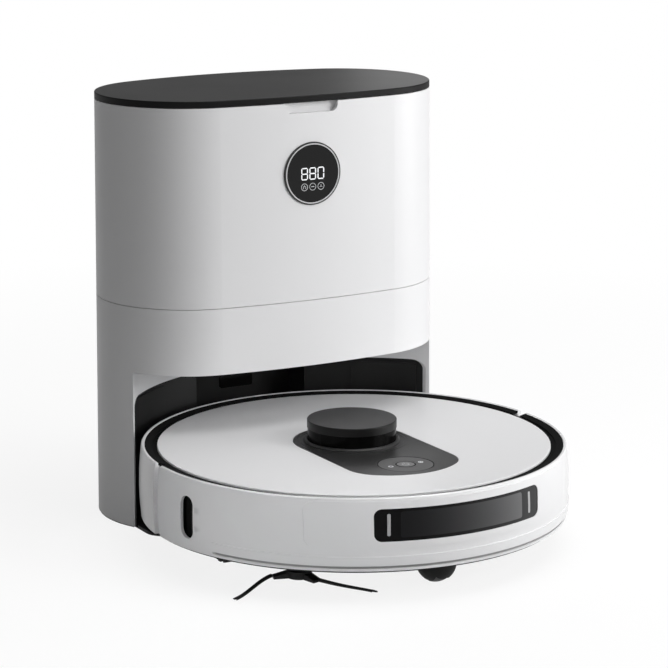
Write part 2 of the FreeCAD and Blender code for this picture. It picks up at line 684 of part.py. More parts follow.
def dust_bag():
    """Filled paper bag, crowned on its broad sides."""
    y1 = BAG_BACK_Y
    sections = []
    depth = y1 + WELL_HALF_D - WELL_WALL - 3.0
    for share, inset in ((0.0, 20.0), (0.12, 5.0), (0.5, 0.0), (0.85, 4.0), (1.0, 16.0)):
        x0 = WELL_X0 + WELL_WALL + 5.0 + inset
        x1 = WELL_X1 - WELL_WALL - 5.0 - inset
        z0 = WELL_BOTTOM + WELL_WALL + 1.0 + inset * 0.6
        z1 = COLLAR_Z + 24.0 - inset * 0.8
        y = y1 - share * depth
        slab = rounded_front(x0, x1, z0, z1, 12.0, y - 0.5, y)
        face = [f for f in slab.Faces if f.BoundBox.YMin > y - 0.01][0]
        sections.append(face.OuterWire)
    return Part.makeLoft(sections, True, True)


def motor_housing():
    """Round fan casing with a side outlet, standing on the shelf over the bay."""
    z0 = OVERHANG_Z + SHELL_WALL + 0.3
    z1 = WELL_BOTTOM - 0.5
    casing = cyl(FAN_R, z0, z1, FAN_X, 0)
    chest = block(FAN_X - FAN_R, FAN_X - FAN_R + 24.0, 0.0, FAN_R + 12.0, z1 - 34.0, z1 - 6.0)
    hollow = cyl(FAN_R - FAN_WALL, z0 + 30.0, z1 - FAN_WALL, FAN_X, 0)
    chute = block(FAN_X - FAN_R + FAN_WALL, FAN_X - FAN_R + 24.0 - FAN_WALL, 0.0, BIG,
                  z1 - 34.0 + FAN_WALL, z1 - 6.0 - FAN_WALL)
    body = casing.fuse(chest).cut(hollow).cut(chute)
    body = body.cut(cyl(18.0, z1 - 10.0, z1 + 1.0, FAN_X, 0))
    body = body.cut(cyl(PIN_R * 2 + PIN_FIT, z0 + 8.0, BIG, FAN_X, 0))
    return body.removeSplitter()


def fan_impeller():
    """Closed-back centrifugal wheel with curved blades on its shaft."""
    z0 = OVERHANG_Z + SHELL_WALL + 0.3 + 31.0
    z1 = WELL_BOTTOM - 0.5 - FAN_WALL - 2.0
    disc = cyl(IMPELLER_R, z0, z0 + 2.0, FAN_X, 0)
    hub = Part.makeCone(13.0, 5.0, z1 - z0 - 2.0, vec(FAN_X, 0, z0 + 1.9), UP)
    shaft = cyl(PIN_R * 2, z0 - 20.0, z0 + 2.0, FAN_X, 0)
    wheel = disc.fuse(hub).fuse(shaft)
    for i in range(IMPELLER_BLADES):
        blade = tube(26.0, 24.6, z0 + 1.5, z1, IMPELLER_R - 4.0, -16.0)
        blade = blade.common(block(0, IMPELLER_R, 0, IMPELLER_R, 0, BIG))
        blade = blade.common(tube(IMPELLER_R - 0.5, 9.0, 0, BIG))
        blade.rotate(ORIGIN, UP, i * 360.0 / IMPELLER_BLADES)
        wheel = wheel.fuse(placed(blade, vec(FAN_X, 0, 0)))
    return wheel.removeSplitter()


def rear_grille():
    """Louvred panel cut from the shell's own curved wall."""
    skin = plan_solid(GRILLE_Z0 - 5.0, GRILLE_Z1 + 5.0)
    skin = skin.cut(plan_solid(GRILLE_Z0 - 6.0, GRILLE_Z1 + 6.0, SHELL_WALL))
    panel = grille_slab(GRILLE_GAP).common(skin)
    pitch = (GRILLE_X1 - GRILLE_X0 - 10.0) / LOUVRES
    slots = []
    for i in range(LOUVRES):
        x = GRILLE_X0 + 5.0 + pitch * (i + 0.5)
        slots.append(rounded_front(x - 1.3, x + 1.3, GRILLE_Z0 + 8.0, GRILLE_Z1 - 8.0, 1.25,
                                   40.0, DOCK_BACK + 30.0))
    return panel.cut(Part.makeCompound(slots))


def exhaust_filter():
    """Pleated filter block in its frame behind the grille."""
    y1 = DUCT_Y + 1.5
    y0 = POCKET_BACK + 1.0
    x0 = GRILLE_X0 + 6.0
    x1 = GRILLE_X1 - 4.0
    z0 = GRILLE_Z0 + 6.0
    z1 = GRILLE_Z1 - 4.0
    body = block(x0, x1, y0, y1, z0, z1)
    pitch = 6.0
    count = int((x1 - x0 - 6.0) / pitch)
    grooves = []
    for i in range(count):
        x = x0 + 5.0 + pitch * i
        outline = polygon([vec(x - 2.2, y1 + 1, z0 + 3.0), vec(x + 2.2, y1 + 1, z0 + 3.0),
                           vec(x, y0 + 3.0, z0 + 3.0)])
        grooves.append(Part.Face(outline).extrude(vec(0, 0, z1 - z0 - 6.0)))
    return body.cut(Part.makeCompound(grooves))


def power_inlet():
    """Two-pin mains inlet whose face follows the shell."""
    body = inlet_slab(0.0, 60.0).common(plan_solid(0.0, INLET_Z + 30.0))
    body = body.common(plan_solid(0.0, INLET_Z + 30.0, 0.0))
    face_y = 60.0 + 6.0
    mouth = rounded_front(INLET_X - 8.0, INLET_X + 8.0, INLET_Z - 4.5, INLET_Z + 4.5, 4.4,
                          face_y, BIG)
    body = body.cut(mouth)
    for side in (-1.0, 1.0):
        body = body.fuse(cyl_y(1.2, face_y - 0.5, face_y + 9.0, INLET_X + side * 4.0, INLET_Z))
    return body.removeSplitter()


def display_front():
    return -(DOCK_FRONT + grow_at(DISPLAY_Z)) - DISPLAY_PROUD


def display_bezel():
    """Dark outer ring, its thin bright inner step and the glass's shelf."""
    y = display_front()
    step_r = DISPLAY_R - DISPLAY_RIM
    ring = cyl_y(DISPLAY_R, y, y + 9.0, 0, DISPLAY_Z).cut(cyl_y(step_r, y - 1, y + 3.0, 0, DISPLAY_Z))
    ring = ring.cut(cyl_y(DISPLAY_R - 5.0, y - 1, y + 20.0, 0, DISPLAY_Z))
    step = cyl_y(step_r, y - 0.15, y + 3.0, 0, DISPLAY_Z)
    step = step.cut(cyl_y(step_r - DISPLAY_RING, y - 1, y + 5.0, 0, DISPLAY_Z))
    return ring.fuse(step)


def display_glass():
    y = display_front()
    radius = DISPLAY_R - DISPLAY_RIM - DISPLAY_RING
    return cyl_y(radius, y + 0.2, y + 3.0, 0, DISPLAY_Z)


def build_dock():
    write("dock_lower_shell", dock_lower_shell())
    write("dock_upper_shell", dock_upper_shell())
    write("dock_lid", dock_lid())
    write("lid_hinge_pin", lid_hinge_pin())
    write("dock_base_plate", dock_base_plate())
    write("dock_feet", dock_feet())
    write("dock_screws", dock_screws())
    write("alcove_liner", alcove_liner())
    write("charging_terminals", charging_terminals())
    write("beacon_window", beacon_window())
    write("dust_port_seal", dust_port_seal())
    write("dust_duct", dust_duct())
    write("bag_bay", bag_bay())
    write("bag_collar", bag_collar())
    write("dust_bag", dust_bag())
    write("motor_housing", motor_housing())
    write("fan_impeller", fan_impeller())
    write("rear_grille", rear_grille())
    write("exhaust_filter", exhaust_filter())
    write("power_inlet", power_inlet())
    write("display_bezel", display_bezel())
    write("display_glass", display_glass())


# --------------------------------------------------------------- robot pieces
WELL_ROOM = 3.0
SIDE_WELL_X0 = GEARBOX_X0 - WELL_ROOM
SIDE_WELL_X1 = WHEEL_X1 + WELL_ROOM
FLOOR_Z = CHASSIS_Z + CHASSIS_T
DECK_Z0 = COVER_Z - COVER_T - DECK_FLOOR
FLANGE_Z = RIM_Z - RIM_T
RIM_IN = RIM_R - RIM_W
RING_R = RIM_IN - LEDGE - BUMPER_TRAVEL - SLIDE_GAP
TRIM_R = COVER_R + BUMPER_TRAVEL + SLIDE_GAP
TRIM_OUT = RIM_IN - 0.1
TRIM_Z0 = RIM_Z - TRIM_T
TRIM_TOP = RIM_Z - TRIM_DROP


def skin_face(outer_grow, inner_grow, bottom, top):
    """Section through a layer that follows the barrelled side of the robot."""
    def side(grow):
        return [vec(SKIRT_R + grow, 0, bottom), vec(ROBOT_R + grow, 0, WAIST_Z),
                vec(RIM_R + grow, 0, top)]
    out0, out1, out2 = side(outer_grow)
    in0, in1, in2 = side(inner_grow)
    edges = [Part.Arc(out0, out1, out2).toShape(), Part.LineSegment(out2, in2).toShape(),
             Part.Arc(in2, in1, in0).toShape(), Part.LineSegment(in0, out0).toShape()]
    return Part.Face(Part.Wire(edges))


def skin_ring(outer_grow, inner_grow, bottom, top):
    return skin_face(outer_grow, inner_grow, bottom, top).revolve(ORIGIN, UP, 360)


def side_ring(bottom):
    """Side wall of the robot with its narrow rim and the ledge inside it."""
    wall = skin_ring(0.0, -SIDE_WALL, bottom, RIM_Z - RIM_ROUND)
    rim = revolve([(RIM_IN - LEDGE, FLANGE_Z), (RIM_IN - LEDGE, TRIM_Z0), (RIM_IN, TRIM_Z0),
                   (RIM_IN, RIM_Z - 0.4), (RIM_IN + 0.4, RIM_Z), (RIM_R - RIM_ROUND, RIM_Z),
                   (RIM_R, RIM_Z - RIM_ROUND), (RIM_R - 0.6, FLANGE_Z)])
    return wall.fuse(rim)


def radial_slab(deg, width, z0, z1, radius, r0, r1):
    """Slab with rounded corners that points outwards at an angle from the front."""
    slab = rounded_front(-width / 2.0, width / 2.0, z0, z1, radius, -r1, -r0)
    slab.rotate(ORIGIN, UP, deg)
    return slab


def window_slab(gap):
    half = ROBOT_R * math.sin(math.radians(WINDOW_DEG)) - gap
    return rounded_front(-half, half, WINDOW_Z0 + gap, WINDOW_Z1 - gap, WINDOW_R - gap,
                         -ROBOT_R - 10.0, -ROBOT_R + 40.0)


def raised_rib():
    """Rounded rib round the bumper above its bottom groove."""
    skin = skin_ring(RIB_PROUD, -SKIN_BITE, SIDE_BOTTOM, RIM_Z)
    rib = skin.common(sector(-RIB_DEG, RIB_DEG, BIG, 0, RIB_Z0, RIB_Z1))
    mid_z = (RIB_Z0 + RIB_Z1) / 2.0
    for deg in (-RIB_DEG, RIB_DEG):
        end = Part.makeCylinder((RIB_Z1 - RIB_Z0) / 2.0, ROBOT_R, on_circle(deg, 1.0, mid_z),
                                on_circle(deg, 1.0))
        rib = rib.fuse(skin.common(end))
    return rib


def bumper():
    """Front half of the side wall: window frame, rib, slot and guide hooks."""
    wall = side_ring(SIDE_BOTTOM).common(sector(-BUMPER_DEG, BUMPER_DEG, BIG, 0, -10, 200))
    half = ROBOT_R * math.sin(math.radians(PANEL2_DEG))
    frame = rounded_front(-half, half, PANEL2_Z0, PANEL2_Z1, PANEL2_R, -BIG, -ROBOT_R / 3.0)
    frame = frame.common(skin_ring(PANEL2_PROUD, -SKIN_BITE, SIDE_BOTTOM, RIM_Z))
    wall = wall.fuse(frame).fuse(raised_rib())
    groove = sector(-RIB_DEG, RIB_DEG, BIG, SKIRT_R + 0.4 - GROOVE_DEPTH,
                    RIB_Z0 - GROOVE_H, RIB_Z0)
    wall = wall.cut(groove).cut(window_slab(0.0))
    root = SKIRT_R - SKIN_BITE
    tip = SKIRT_R - HOOK_REACH
    wall = wall.fuse(sector(-BUMPER_DEG + 6.0, BUMPER_DEG - 6.0, root, tip,
                            SIDE_BOTTOM, SIDE_BOTTOM + LIP_T))
    for deg in (-66.0, -36.0, 36.0, 66.0):
        wall = wall.fuse(radial_slab(deg, HOOK_W, SIDE_BOTTOM + 0.5, SIDE_BOTTOM + 0.5 + HOOK_H,
                                     1.5, tip, root))
    edge = radial_slab(SLOT_DEG, SLOT_W + 2.0 * SLOT_RIM_W, SLOT_Z0 - SLOT_RIM_W,
                       SLOT_Z1 + SLOT_RIM_W, SLOT_W / 2.0, ROBOT_R - 20.0, ROBOT_R + 20.0)
    wall = wall.fuse(edge.common(skin_ring(SLOT_RIM_PROUD, -SKIN_BITE, SIDE_BOTTOM,
                                           RIM_Z - RIM_ROUND)))
    slot = radial_slab(SLOT_DEG, SLOT_W, SLOT_Z0, SLOT_Z1, SLOT_W / 2.0 - 0.02,
                       ROBOT_R - 25.0, ROBOT_R + 25.0)
    return wall.cut(slot).removeSplitter()


def trim_ring(foot):
    """Dark sloping ring inside the rim, on the foot that carries it."""
    return revolve(foot + [(TRIM_OUT, TRIM_Z0), (TRIM_OUT, TRIM_TOP),
                           (TRIM_R, TRIM_TOP - TRIM_SLOPE)])


def bumper_trim():
    """Front part of the dark ring, which moves with the bumper."""
    return trim_ring([(TRIM_R, TRIM_Z0)]).common(sector(-BUMPER_DEG, BUMPER_DEG, BIG, 0, 0, 200))


def sensor_window():
    layer = skin_ring(0.0, -SIDE_WALL, SIDE_BOTTOM, RIM_Z - RIM_ROUND)
    glass = window_slab(0.0).common(layer)
    return glass.cut(window_bar_slots())


def bar_slab(deg):
    return radial_slab(deg, BAR_W, BAR_Z0, BAR_Z1, 1.0, ROBOT_R - 1.2, ROBOT_R + 5.0)


def window_bar_slots():
    return bar_slab(-BAR_DEG).fuse(bar_slab(BAR_DEG))


def window_bars():
    """Two narrow light guides set into the front window."""
    layer = skin_ring(0.0, -1.2, SIDE_BOTTOM, RIM_Z - RIM_ROUND)
    return Part.makeCompound([bar_slab(deg).common(layer) for deg in (-BAR_DEG, BAR_DEG)])


def outlet_slab(gap):
    return rounded_front(-PORT_HALF_W - 2.0 + gap, PORT_HALF_W + 2.0 - gap,
                         PORT_Z - PORT_H / 2.0 - 2.0 + gap, PORT_Z + PORT_H / 2.0 + 2.0 - gap,
                         8.0, FRAME_R - 40.0, ROBOT_R + 10.0)


def plate_sector(side, inner, gap=0.0):
    mid = 180.0 + side * CONTACT_DEG
    half = CONTACT_DEG_W / 2.0 + 0.4
    return sector(mid - half + gap, mid + half - gap, BIG, inner,
                  CONTACT_Z - CONTACT_H / 2.0 - 0.6, CONTACT_Z + CONTACT_H / 2.0 + 0.6)


def rear_side_wall():
    """Fixed rear half of the side wall with tongues behind the bumper's ends."""
    wall = side_ring(SKIRT_TOP).common(sector(SIDE_DEG, 360.0 - SIDE_DEG, BIG, 0, -10, 200))
    top = FLANGE_Z - 0.5
    thin = skin_ring(-SIDE_WALL - 0.7, -SIDE_WALL - 2.3, SKIRT_TOP, top)
    thick = skin_ring(-SIDE_WALL + 0.4, -SIDE_WALL - 2.3, SKIRT_TOP, top)
    for side in (-1.0, 1.0):
        tongue = thin.common(sector(SIDE_DEG - TONGUE_DEG - 2.0, SIDE_DEG + 0.5, BIG, 0, 0, 200))
        root = thick.common(sector(SIDE_DEG, SIDE_DEG + 4.0, BIG, 0, 0, 200))
        tongue = tongue.fuse(root)
        wall = wall.fuse(tongue if side > 0 else mirrored_x(tongue))
    foot = sector(SIDE_DEG + 1.0, 359.0 - SIDE_DEG, SKIRT_R - 1.5, FRAME_R + 2.5,
                  SKIRT_TOP, SKIRT_TOP + 2.0)
    wall = wall.fuse(foot).cut(outlet_slab(0.0))
    for side in (-1.0, 1.0):
        wall = wall.cut(plate_sector(side, SKIRT_R - 0.4))
    return wall.removeSplitter()


def robot_contacts():
    skin = skin_ring(0.0, -2.0, SKIRT_TOP, RIM_Z - RIM_ROUND)
    plates = [plate_sector(side, SKIRT_R - 0.4).common(skin) for side in (-1.0, 1.0)]
    return Part.makeCompound(plates)


def wall_sensor():
    """Lens block that looks out through the slot on the left of the bumper."""
    inner = FRAME_R - 1.0
    body = radial_slab(SLOT_DEG, SLOT_W + 4.0, SLOT_Z0 - 2.0, SLOT_Z1 + 2.0, 2.0,
                       inner, SKIRT_R - SIDE_WALL - 3.6)
    lens = Part.makeCylinder(3.2, SLOT_Z1 - SLOT_Z0 - 4.0,
                             on_circle(SLOT_DEG, SKIRT_R - SIDE_WALL - 4.8, SLOT_Z0 + 2.0), UP)
    return body.cut(cyl(FRAME_R + 0.05, 0, 200)).fuse(lens)


# --- chassis
def wheel_well(grow, z0, z1):
    """Room for one drive wheel, its arm and its gearbox (right side)."""
    wheel = block(ARM_X0 - WELL_ROOM + 1.0 - grow, SIDE_WELL_X1 + grow, -WHEEL_R - 4.0 - grow,
                  ARM_Y + 10.0 + grow, z0, z1)
    box = block(SIDE_WELL_X0 - grow, ARM_X0 + grow, -GEARBOX_R - 3.0 - grow,
                GEARBOX_R + 10.5 + grow, z0, min(z1, GEARBOX_ROOF))
    return wheel.fuse(box)


def brush_box(grow, z0, z1):
    return block(-BRUSH_HALF_L - 1.5 - grow, BRUSH_HALF_L + 1.5 + grow,
                 BRUSH_Y - BRUSH_R - BRUSH_ROOM - grow, BRUSH_Y + BRUSH_R + BRUSH_ROOM + grow,
                 z0, z1)


def belly_z(radius):
    """Height of the underside, which rises outside its flat middle."""
    slope = (CHASSIS_EDGE_Z - CHASSIS_Z) / BELLY_RISE
    return CHASSIS_Z + max(0.0, radius - CHASSIS_FLAT_R) * slope


def below_belly(lift):
    """All the room under the floor pan, raised by the lift."""
    flat = CHASSIS_Z + lift
    return revolve([(0, -BIG), (ROBOT_R, -BIG), (ROBOT_R, belly_z(ROBOT_R) + lift),
                    (CHASSIS_FLAT_R, flat), (0, flat)])


def chassis_body():
    inner = FRAME_R - FRAME_WALL
    return revolve([(0, CHASSIS_Z), (CHASSIS_FLAT_R, CHASSIS_Z), (CHASSIS_R, CHASSIS_EDGE_Z),
                    (CHASSIS_R, SKIRT_TOP), (FRAME_R, SKIRT_TOP), (FRAME_R, DECK_Z0),
                    (inner, DECK_Z0), (inner, belly_z(inner) + CHASSIS_T),
                    (CHASSIS_FLAT_R, FLOOR_Z), (0, FLOOR_Z)])


def chassis_base():
    """Floor pan with wheel wells, brush tunnel, caster socket and frame wall."""
    pan = chassis_body()
    roof = ARM_Z + 34.0
    pan_top = belly_z(FRAME_R) + CHASSIS_T
    for side in (-1.0, 1.0):
        walls = wheel_well(2.0, FLOOR_Z - 1.0, roof).cut(wheel_well(0.0, 0.0, roof + 5.0))
        hole = wheel_well(0.0, 0.0, pan_top)
        post = block(ARM_X0 - 9.0, ARM_X0 - 0.4, ARM_Y - 7.0, ARM_Y + 7.0, FLOOR_Z - 1.0,
                     ARM_Z + 8.0)
        pin = cyl_x(3.0, ARM_X0 - 9.0, ARM_X1 + 0.4, ARM_Y, ARM_Z)
        pin = pin.fuse(cyl_x(5.0, ARM_X1 + 0.4, ARM_X1 + 2.0, ARM_Y, ARM_Z))
        if side < 0:
            walls, hole, post, pin = [mirrored_x(part) for part in (walls, hole, post, pin)]
        pan = pan.cut(hole).fuse(walls).fuse(post).fuse(pin)
    tunnel = brush_box(2.0, FLOOR_Z - 1.0, BRUSH_Z)
    arch = cyl_x(BRUSH_R + BRUSH_ROOM + 2.0, -BRUSH_HALF_L - 3.5, BRUSH_HALF_L + 3.5,
                 BRUSH_Y, BRUSH_Z)
    arch = arch.common(block(-BIG, BIG, -BIG, BIG, BRUSH_Z, BIG))
    room = brush_box(0.0, 0.0, BRUSH_Z)
    arch_room = cyl_x(BRUSH_R + BRUSH_ROOM, -BRUSH_HALF_L - 1.5, BRUSH_HALF_L + 1.5,
                      BRUSH_Y, BRUSH_Z)
    pan = pan.fuse(tunnel.fuse(arch)).cut(room).cut(arch_room)
    for side in (-1.0, 1.0):
        x0 = BRUSH_HALF_L + 1.5
        ear = block(x0, x0 + 5.0, BRUSH_Y - 12.0, BRUSH_Y + 12.0, FLOOR_Z - 1.0, BRUSH_Z + 12.0)
        bore = cyl_x(AXLE_R + PIN_FIT, x0 - 1.0, x0 + 4.0, BRUSH_Y, BRUSH_Z)
        if side < 0:
            ear, bore = mirrored_x(ear), mirrored_x(bore)
        pan = pan.fuse(ear).cut(bore)
    mouth = block(-34.0, 34.0, BRUSH_Y + 14.0, BRUSH_Y + BRUSH_R + BRUSH_ROOM + 8.0,
                  BRUSH_Z + 3.0, BRUSH_Z + 15.0)
    pan = pan.cut(mouth)
    pan = pan.fuse(caster_socket()).cut(caster_room())
    pan = pan.fuse(cyl(7.0, FLOOR_Z - 1.0, CHASSIS_Z + 16.0, SIDE_BRUSH_X, SIDE_BRUSH_Y))
    pan = pan.cut(cyl(SIDE_BRUSH_HUB_R + 1.5, 0, CHASSIS_Z + 1.0, SIDE_BRUSH_X, SIDE_BRUSH_Y))
    pan = pan.cut(cyl(3.0 + PIN_FIT, 0, CHASSIS_Z + 12.0, SIDE_BRUSH_X, SIDE_BRUSH_Y))
    pan = pan.cut(cliff_windows(0.0))
    for x, y in robot_screw_spots():
        pan = pan.fuse(cyl(4.5, FLOOR_Z - 1.0, CHASSIS_Z + 14.0, x, y))
        pan = pan.cut(cyl(4.0, 0, CHASSIS_Z + 1.4, x, y))
        pan = pan.cut(cyl(1.5 + PIN_FIT, 0, CHASSIS_Z + 12.5, x, y))
    for x in (-50.0, 50.0):
        for y in (-90.0, -36.0):
            pan = pan.fuse(cyl(3.0, FLOOR_Z - 1.0, BOARD_Z, x, y))
    pan = pan.cut(radial_slab(SLOT_DEG, 4.0, SLOT_Z0 + 8.0, SLOT_Z1 - 8.0, 1.0,
                              FRAME_R - 10.0, FRAME_R + 5.0))
    pan = pan.cut(outlet_slab(0.0)).cut(below_belly(0.0))
    return pan.removeSplitter()


def robot_screw_spots():
    spots = []
    for deg in (35.0, 128.0, 232.0, 325.0):
        spot = on_circle(deg, CHASSIS_FLAT_R - 6.0)
        spots.append((spot.x, spot.y))
    return spots


def robot_screws():
    screws = []
    for x, y in robot_screw_spots():
        head = cyl(3.6, CHASSIS_Z + 0.2, CHASSIS_Z + 1.4, x, y)
        slot = block(x - 2.4, x + 2.4, y - 0.4, y + 0.4, CHASSIS_Z, CHASSIS_Z + 0.8)
        screws.append(head.fuse(cyl(1.5, CHASSIS_Z + 1.4, CHASSIS_Z + 12.0, x, y)).cut(slot))
    return Part.makeCompound(screws)


def cliff_windows(gap):
    """Four flush lenses in the rising edge of the floor pan."""
    radius = CHASSIS_R - 21.0
    tilt = math.degrees(math.atan((CHASSIS_EDGE_Z - CHASSIS_Z) / BELLY_RISE))
    lenses = []
    for deg in (-62.0, -22.0, 22.0, 62.0):
        lens = rounded_front(-9.0 + gap, 9.0 - gap, -3.5 + gap, 3.5 - gap, 2.0, 0.0, 1.6)
        lens.rotate(ORIGIN, ALONG_X, 90.0 - tilt)
        lens = placed(lens, vec(0, -radius, belly_z(radius)))
        lens.rotate(ORIGIN, UP, deg)
        lenses.append(lens)
    return Part.makeCompound(lenses)


def caster_socket():
    roof = CASTER_TOP + 0.4
    sweep = CASTER_TRAIL + CASTER_CUP_R + 2.5
    cup = cyl(sweep + 2.0, FLOOR_Z - 1.0, roof + 2.0, 0, CASTER_Y)
    return cup.fuse(cyl(8.0, roof + 1.0, roof + 16.0, 0, CASTER_Y))


def caster_room():
    roof = CASTER_TOP + 0.4
    sweep = CASTER_TRAIL + CASTER_CUP_R + 2.5
    room = cyl(sweep, 0, roof, 0, CASTER_Y)
    return room.fuse(cyl(AXLE_R + PIN_FIT, 0, roof + 14.0, 0, CASTER_Y))


def caster_fork():
    """Rounded swivel cup with two cheeks, a stem and the wheel's axle."""
    wheel_y = CASTER_Y - CASTER_TRAIL
    top = CASTER_TOP
    ball = Part.makeSphere(CASTER_CUP_R, vec(0, wheel_y, CASTER_CUP_R))
    cup = ball.common(block(-BIG, BIG, -BIG, BIG, 2.6, top))
    room = CASTER_R + 1.0
    half = CASTER_W / 2.0 + 0.7
    slot = cyl_x(room, -half, half, wheel_y, CASTER_R)
    slot = slot.fuse(block(-half, half, wheel_y - room, wheel_y + room, -1.0, CASTER_R))
    cup = cup.cut(slot)
    cup = cup.fuse(cyl_x(1.5, -half - 3.0, half + 3.0, wheel_y, CASTER_R))
    stem = cyl(AXLE_R, top - 1.0, top + 13.0, 0, CASTER_Y)
    return cup.fuse(stem).removeSplitter()


def caster_wheel():
    """Barrel-shaped roller."""
    half = CASTER_W / 2.0
    wheel_y = CASTER_Y - CASTER_TRAIL
    profile = [vec(-half, 0, 1.5 + PIN_FIT), vec(-half, 0, CASTER_R - 1.2)]
    crown = Part.Arc(vec(-half, 0, CASTER_R - 1.2), vec(0, 0, CASTER_R),
                     vec(half, 0, CASTER_R - 1.2)).toShape()
    edges = [Part.LineSegment(profile[0], profile[1]).toShape(), crown,
             Part.LineSegment(vec(half, 0, CASTER_R - 1.2), vec(half, 0, 1.5 + PIN_FIT)).toShape(),
             Part.LineSegment(vec(half, 0, 1.5 + PIN_FIT), profile[0]).toShape()]
    wheel = Part.Face(Part.Wire(edges)).revolve(ORIGIN, ALONG_X, 360)
    return placed(wheel, vec(0, wheel_y, CASTER_R))


# --- drive wheels (drawn on the right, mirrored to the left)
def wheel_arm():
    """Swing arm with gearbox, pivot bore and wheel axle."""
    thick = ARM_X1 - ARM_X0
    plate = cyl_x(11.0, ARM_X0, ARM_X1, 0, WHEEL_R).fuse(cyl_x(8.0, ARM_X0, ARM_X1, ARM_Y, ARM_Z))
    length = math.hypot(ARM_Y, ARM_Z - WHEEL_R)
    beam = block(0, thick, 0, length, -6.5, 6.5)
    beam.rotate(ORIGIN, ALONG_X, math.degrees(math.atan2(ARM_Z - WHEEL_R, ARM_Y)))
    arm = plate.fuse(placed(beam, vec(ARM_X0, 0, WHEEL_R)))
    gearbox = cyl_x(GEARBOX_R, ARM_X0 - 14.0, ARM_X0, 0, WHEEL_R)
    motor = cyl_x(GEARBOX_R - 3.0, GEARBOX_X0, ARM_X0 - 12.0, 0, WHEEL_R)
    boss = cyl_x(3.0, GEARBOX_X0 - 1.5, GEARBOX_X0 + 1.0, 0, WHEEL_R)
    axle = cyl_x(AXLE_R, ARM_X1 - 1.0, WHEEL_X1 - 3.0, 0, WHEEL_R)
    arm = arm.fuse(gearbox).fuse(motor).fuse(boss).fuse(axle)
    arm = arm.cut(cyl_x(3.0 + PIN_FIT, ARM_X0 - 1.0, ARM_X1 + 1.0, ARM_Y, ARM_Z))
    return arm.removeSplitter()


def drive_wheel():
    """Dished hub with five spokes and a rim for the tyre."""
    rim_r = WHEEL_R - TYRE_T
    hub = cyl_x(rim_r, WHEEL_X0, WHEEL_X1, 0, WHEEL_R)
    hub = hub.cut(cyl_x(rim_r - 3.0, WHEEL_X1 - 7.0, WHEEL_X1 + 1.0, 0, WHEEL_R))
    hub = hub.cut(cyl_x(rim_r - 3.0, WHEEL_X0 - 1.0, WHEEL_X0 + 6.0, 0, WHEEL_R))
    windows = []
    for i in range(5):
        hole = cyl_x(5.5, WHEEL_X0 - 1.0, WHEEL_X1 + 1.0, 0, WHEEL_R + rim_r * 0.6)
        hole.rotate(vec(0, 0, WHEEL_R), ALONG_X, i * 72.0)
        windows.append(hole)
    hub = hub.cut(Part.makeCompound(windows))
    hub = hub.fuse(cyl_x(8.0, WHEEL_X0, WHEEL_X1 - 2.0, 0, WHEEL_R))
    return hub.cut(cyl_x(AXLE_R + PIN_FIT, WHEEL_X0 - 1, WHEEL_X1 + 1, 0, WHEEL_R))


def drive_tyre():
    """Rubber tread with raised cross bars."""
    base_r = WHEEL_R - 1.4
    half_w = 2.2
    base = cyl_x(base_r, WHEEL_X0, WHEEL_X1, 0, WHEEL_R)
    bars = []
    count = 24
    for i in range(count):
        bar = block(WHEEL_X0 + 1.0, WHEEL_X1 - 1.0, -half_w, half_w, WHEEL_R + base_r - 1.5,
                    WHEEL_R + WHEEL_R)
        bar.rotate(vec(0, 0, WHEEL_R), ALONG_X, i * 360.0 / count)
        bars.append(bar)
    round_off = cyl_x(WHEEL_R, WHEEL_X0, WHEEL_X1, 0, WHEEL_R)
    tyre = base.multiFuse(bars).common(round_off)
    return tyre.cut(cyl_x(WHEEL_R - TYRE_T, WHEEL_X0 - 1, WHEEL_X1 + 1, 0, WHEEL_R))


# --- brushes
def fin_section(x, turn):
    """Star outline of the main brush at one station along its length."""
    points = []
    steps = BRUSH_FINS * 2
    for i in range(BRUSH_FINS):
        base = 360.0 / BRUSH_FINS * i + turn
        gap = 360.0 / steps
        for deg, radius in ((-4.5, BRUSH_R), (4.5, BRUSH_R), (12.0, BRUSH_CORE_R),
                            (gap * 2 - 12.0, BRUSH_CORE_R)):
            a = math.radians(base + deg)
            points.append(vec(x, BRUSH_Y + radius * math.sin(a), BRUSH_Z + radius * math.cos(a)))
    return polygon(points)


def main_brush():
    """Roller whose rubber fins form a chevron."""
    half_l = BRUSH_HALF_L - 1.0
    stations = 4
    halves = []
    for side in (-1.0, 1.0):
        wires = []
        for i in range(stations + 1):
            share = i / float(stations)
            wires.append(fin_section(side * half_l * share, BRUSH_TWIST * share))
        halves.append(Part.makeLoft(wires, True, True))
    brush = halves[0].fuse(halves[1])
    axle = cyl_x(AXLE_R, -BRUSH_HALF_L - 4.5, BRUSH_HALF_L + 4.5, BRUSH_Y, BRUSH_Z)
    return brush.fuse(axle)


def brush_guard():
    """Frame that clips over the brush tunnel."""
    x1 = BRUSH_HALF_L + 12.0
    y0 = BRUSH_Y - BRUSH_R - 7.0
    y1 = BRUSH_Y + BRUSH_R + 7.0
    frame = rounded_rect(-x1, x1, y0, y1, 4.0, CHASSIS_Z - GUARD_T, CHASSIS_Z)
    opening = rounded_rect(-BRUSH_HALF_L - 0.5, BRUSH_HALF_L + 0.5, BRUSH_Y - BRUSH_R - 1.0,
                           BRUSH_Y + BRUSH_R + 1.0, 3.0, 0.0, 50.0)
    frame = frame.cut(opening)
    for side in (-1.0, 1.0):
        clip = rounded_rect(-4.5, 4.5, -6.0, 6.0, 2.0, CHASSIS_Z - GUARD_T - 0.8, CHASSIS_Z - 1.0)
        frame = frame.fuse(placed(clip, vec(side * (x1 - 5.5), BRUSH_Y, 0)))
    return frame


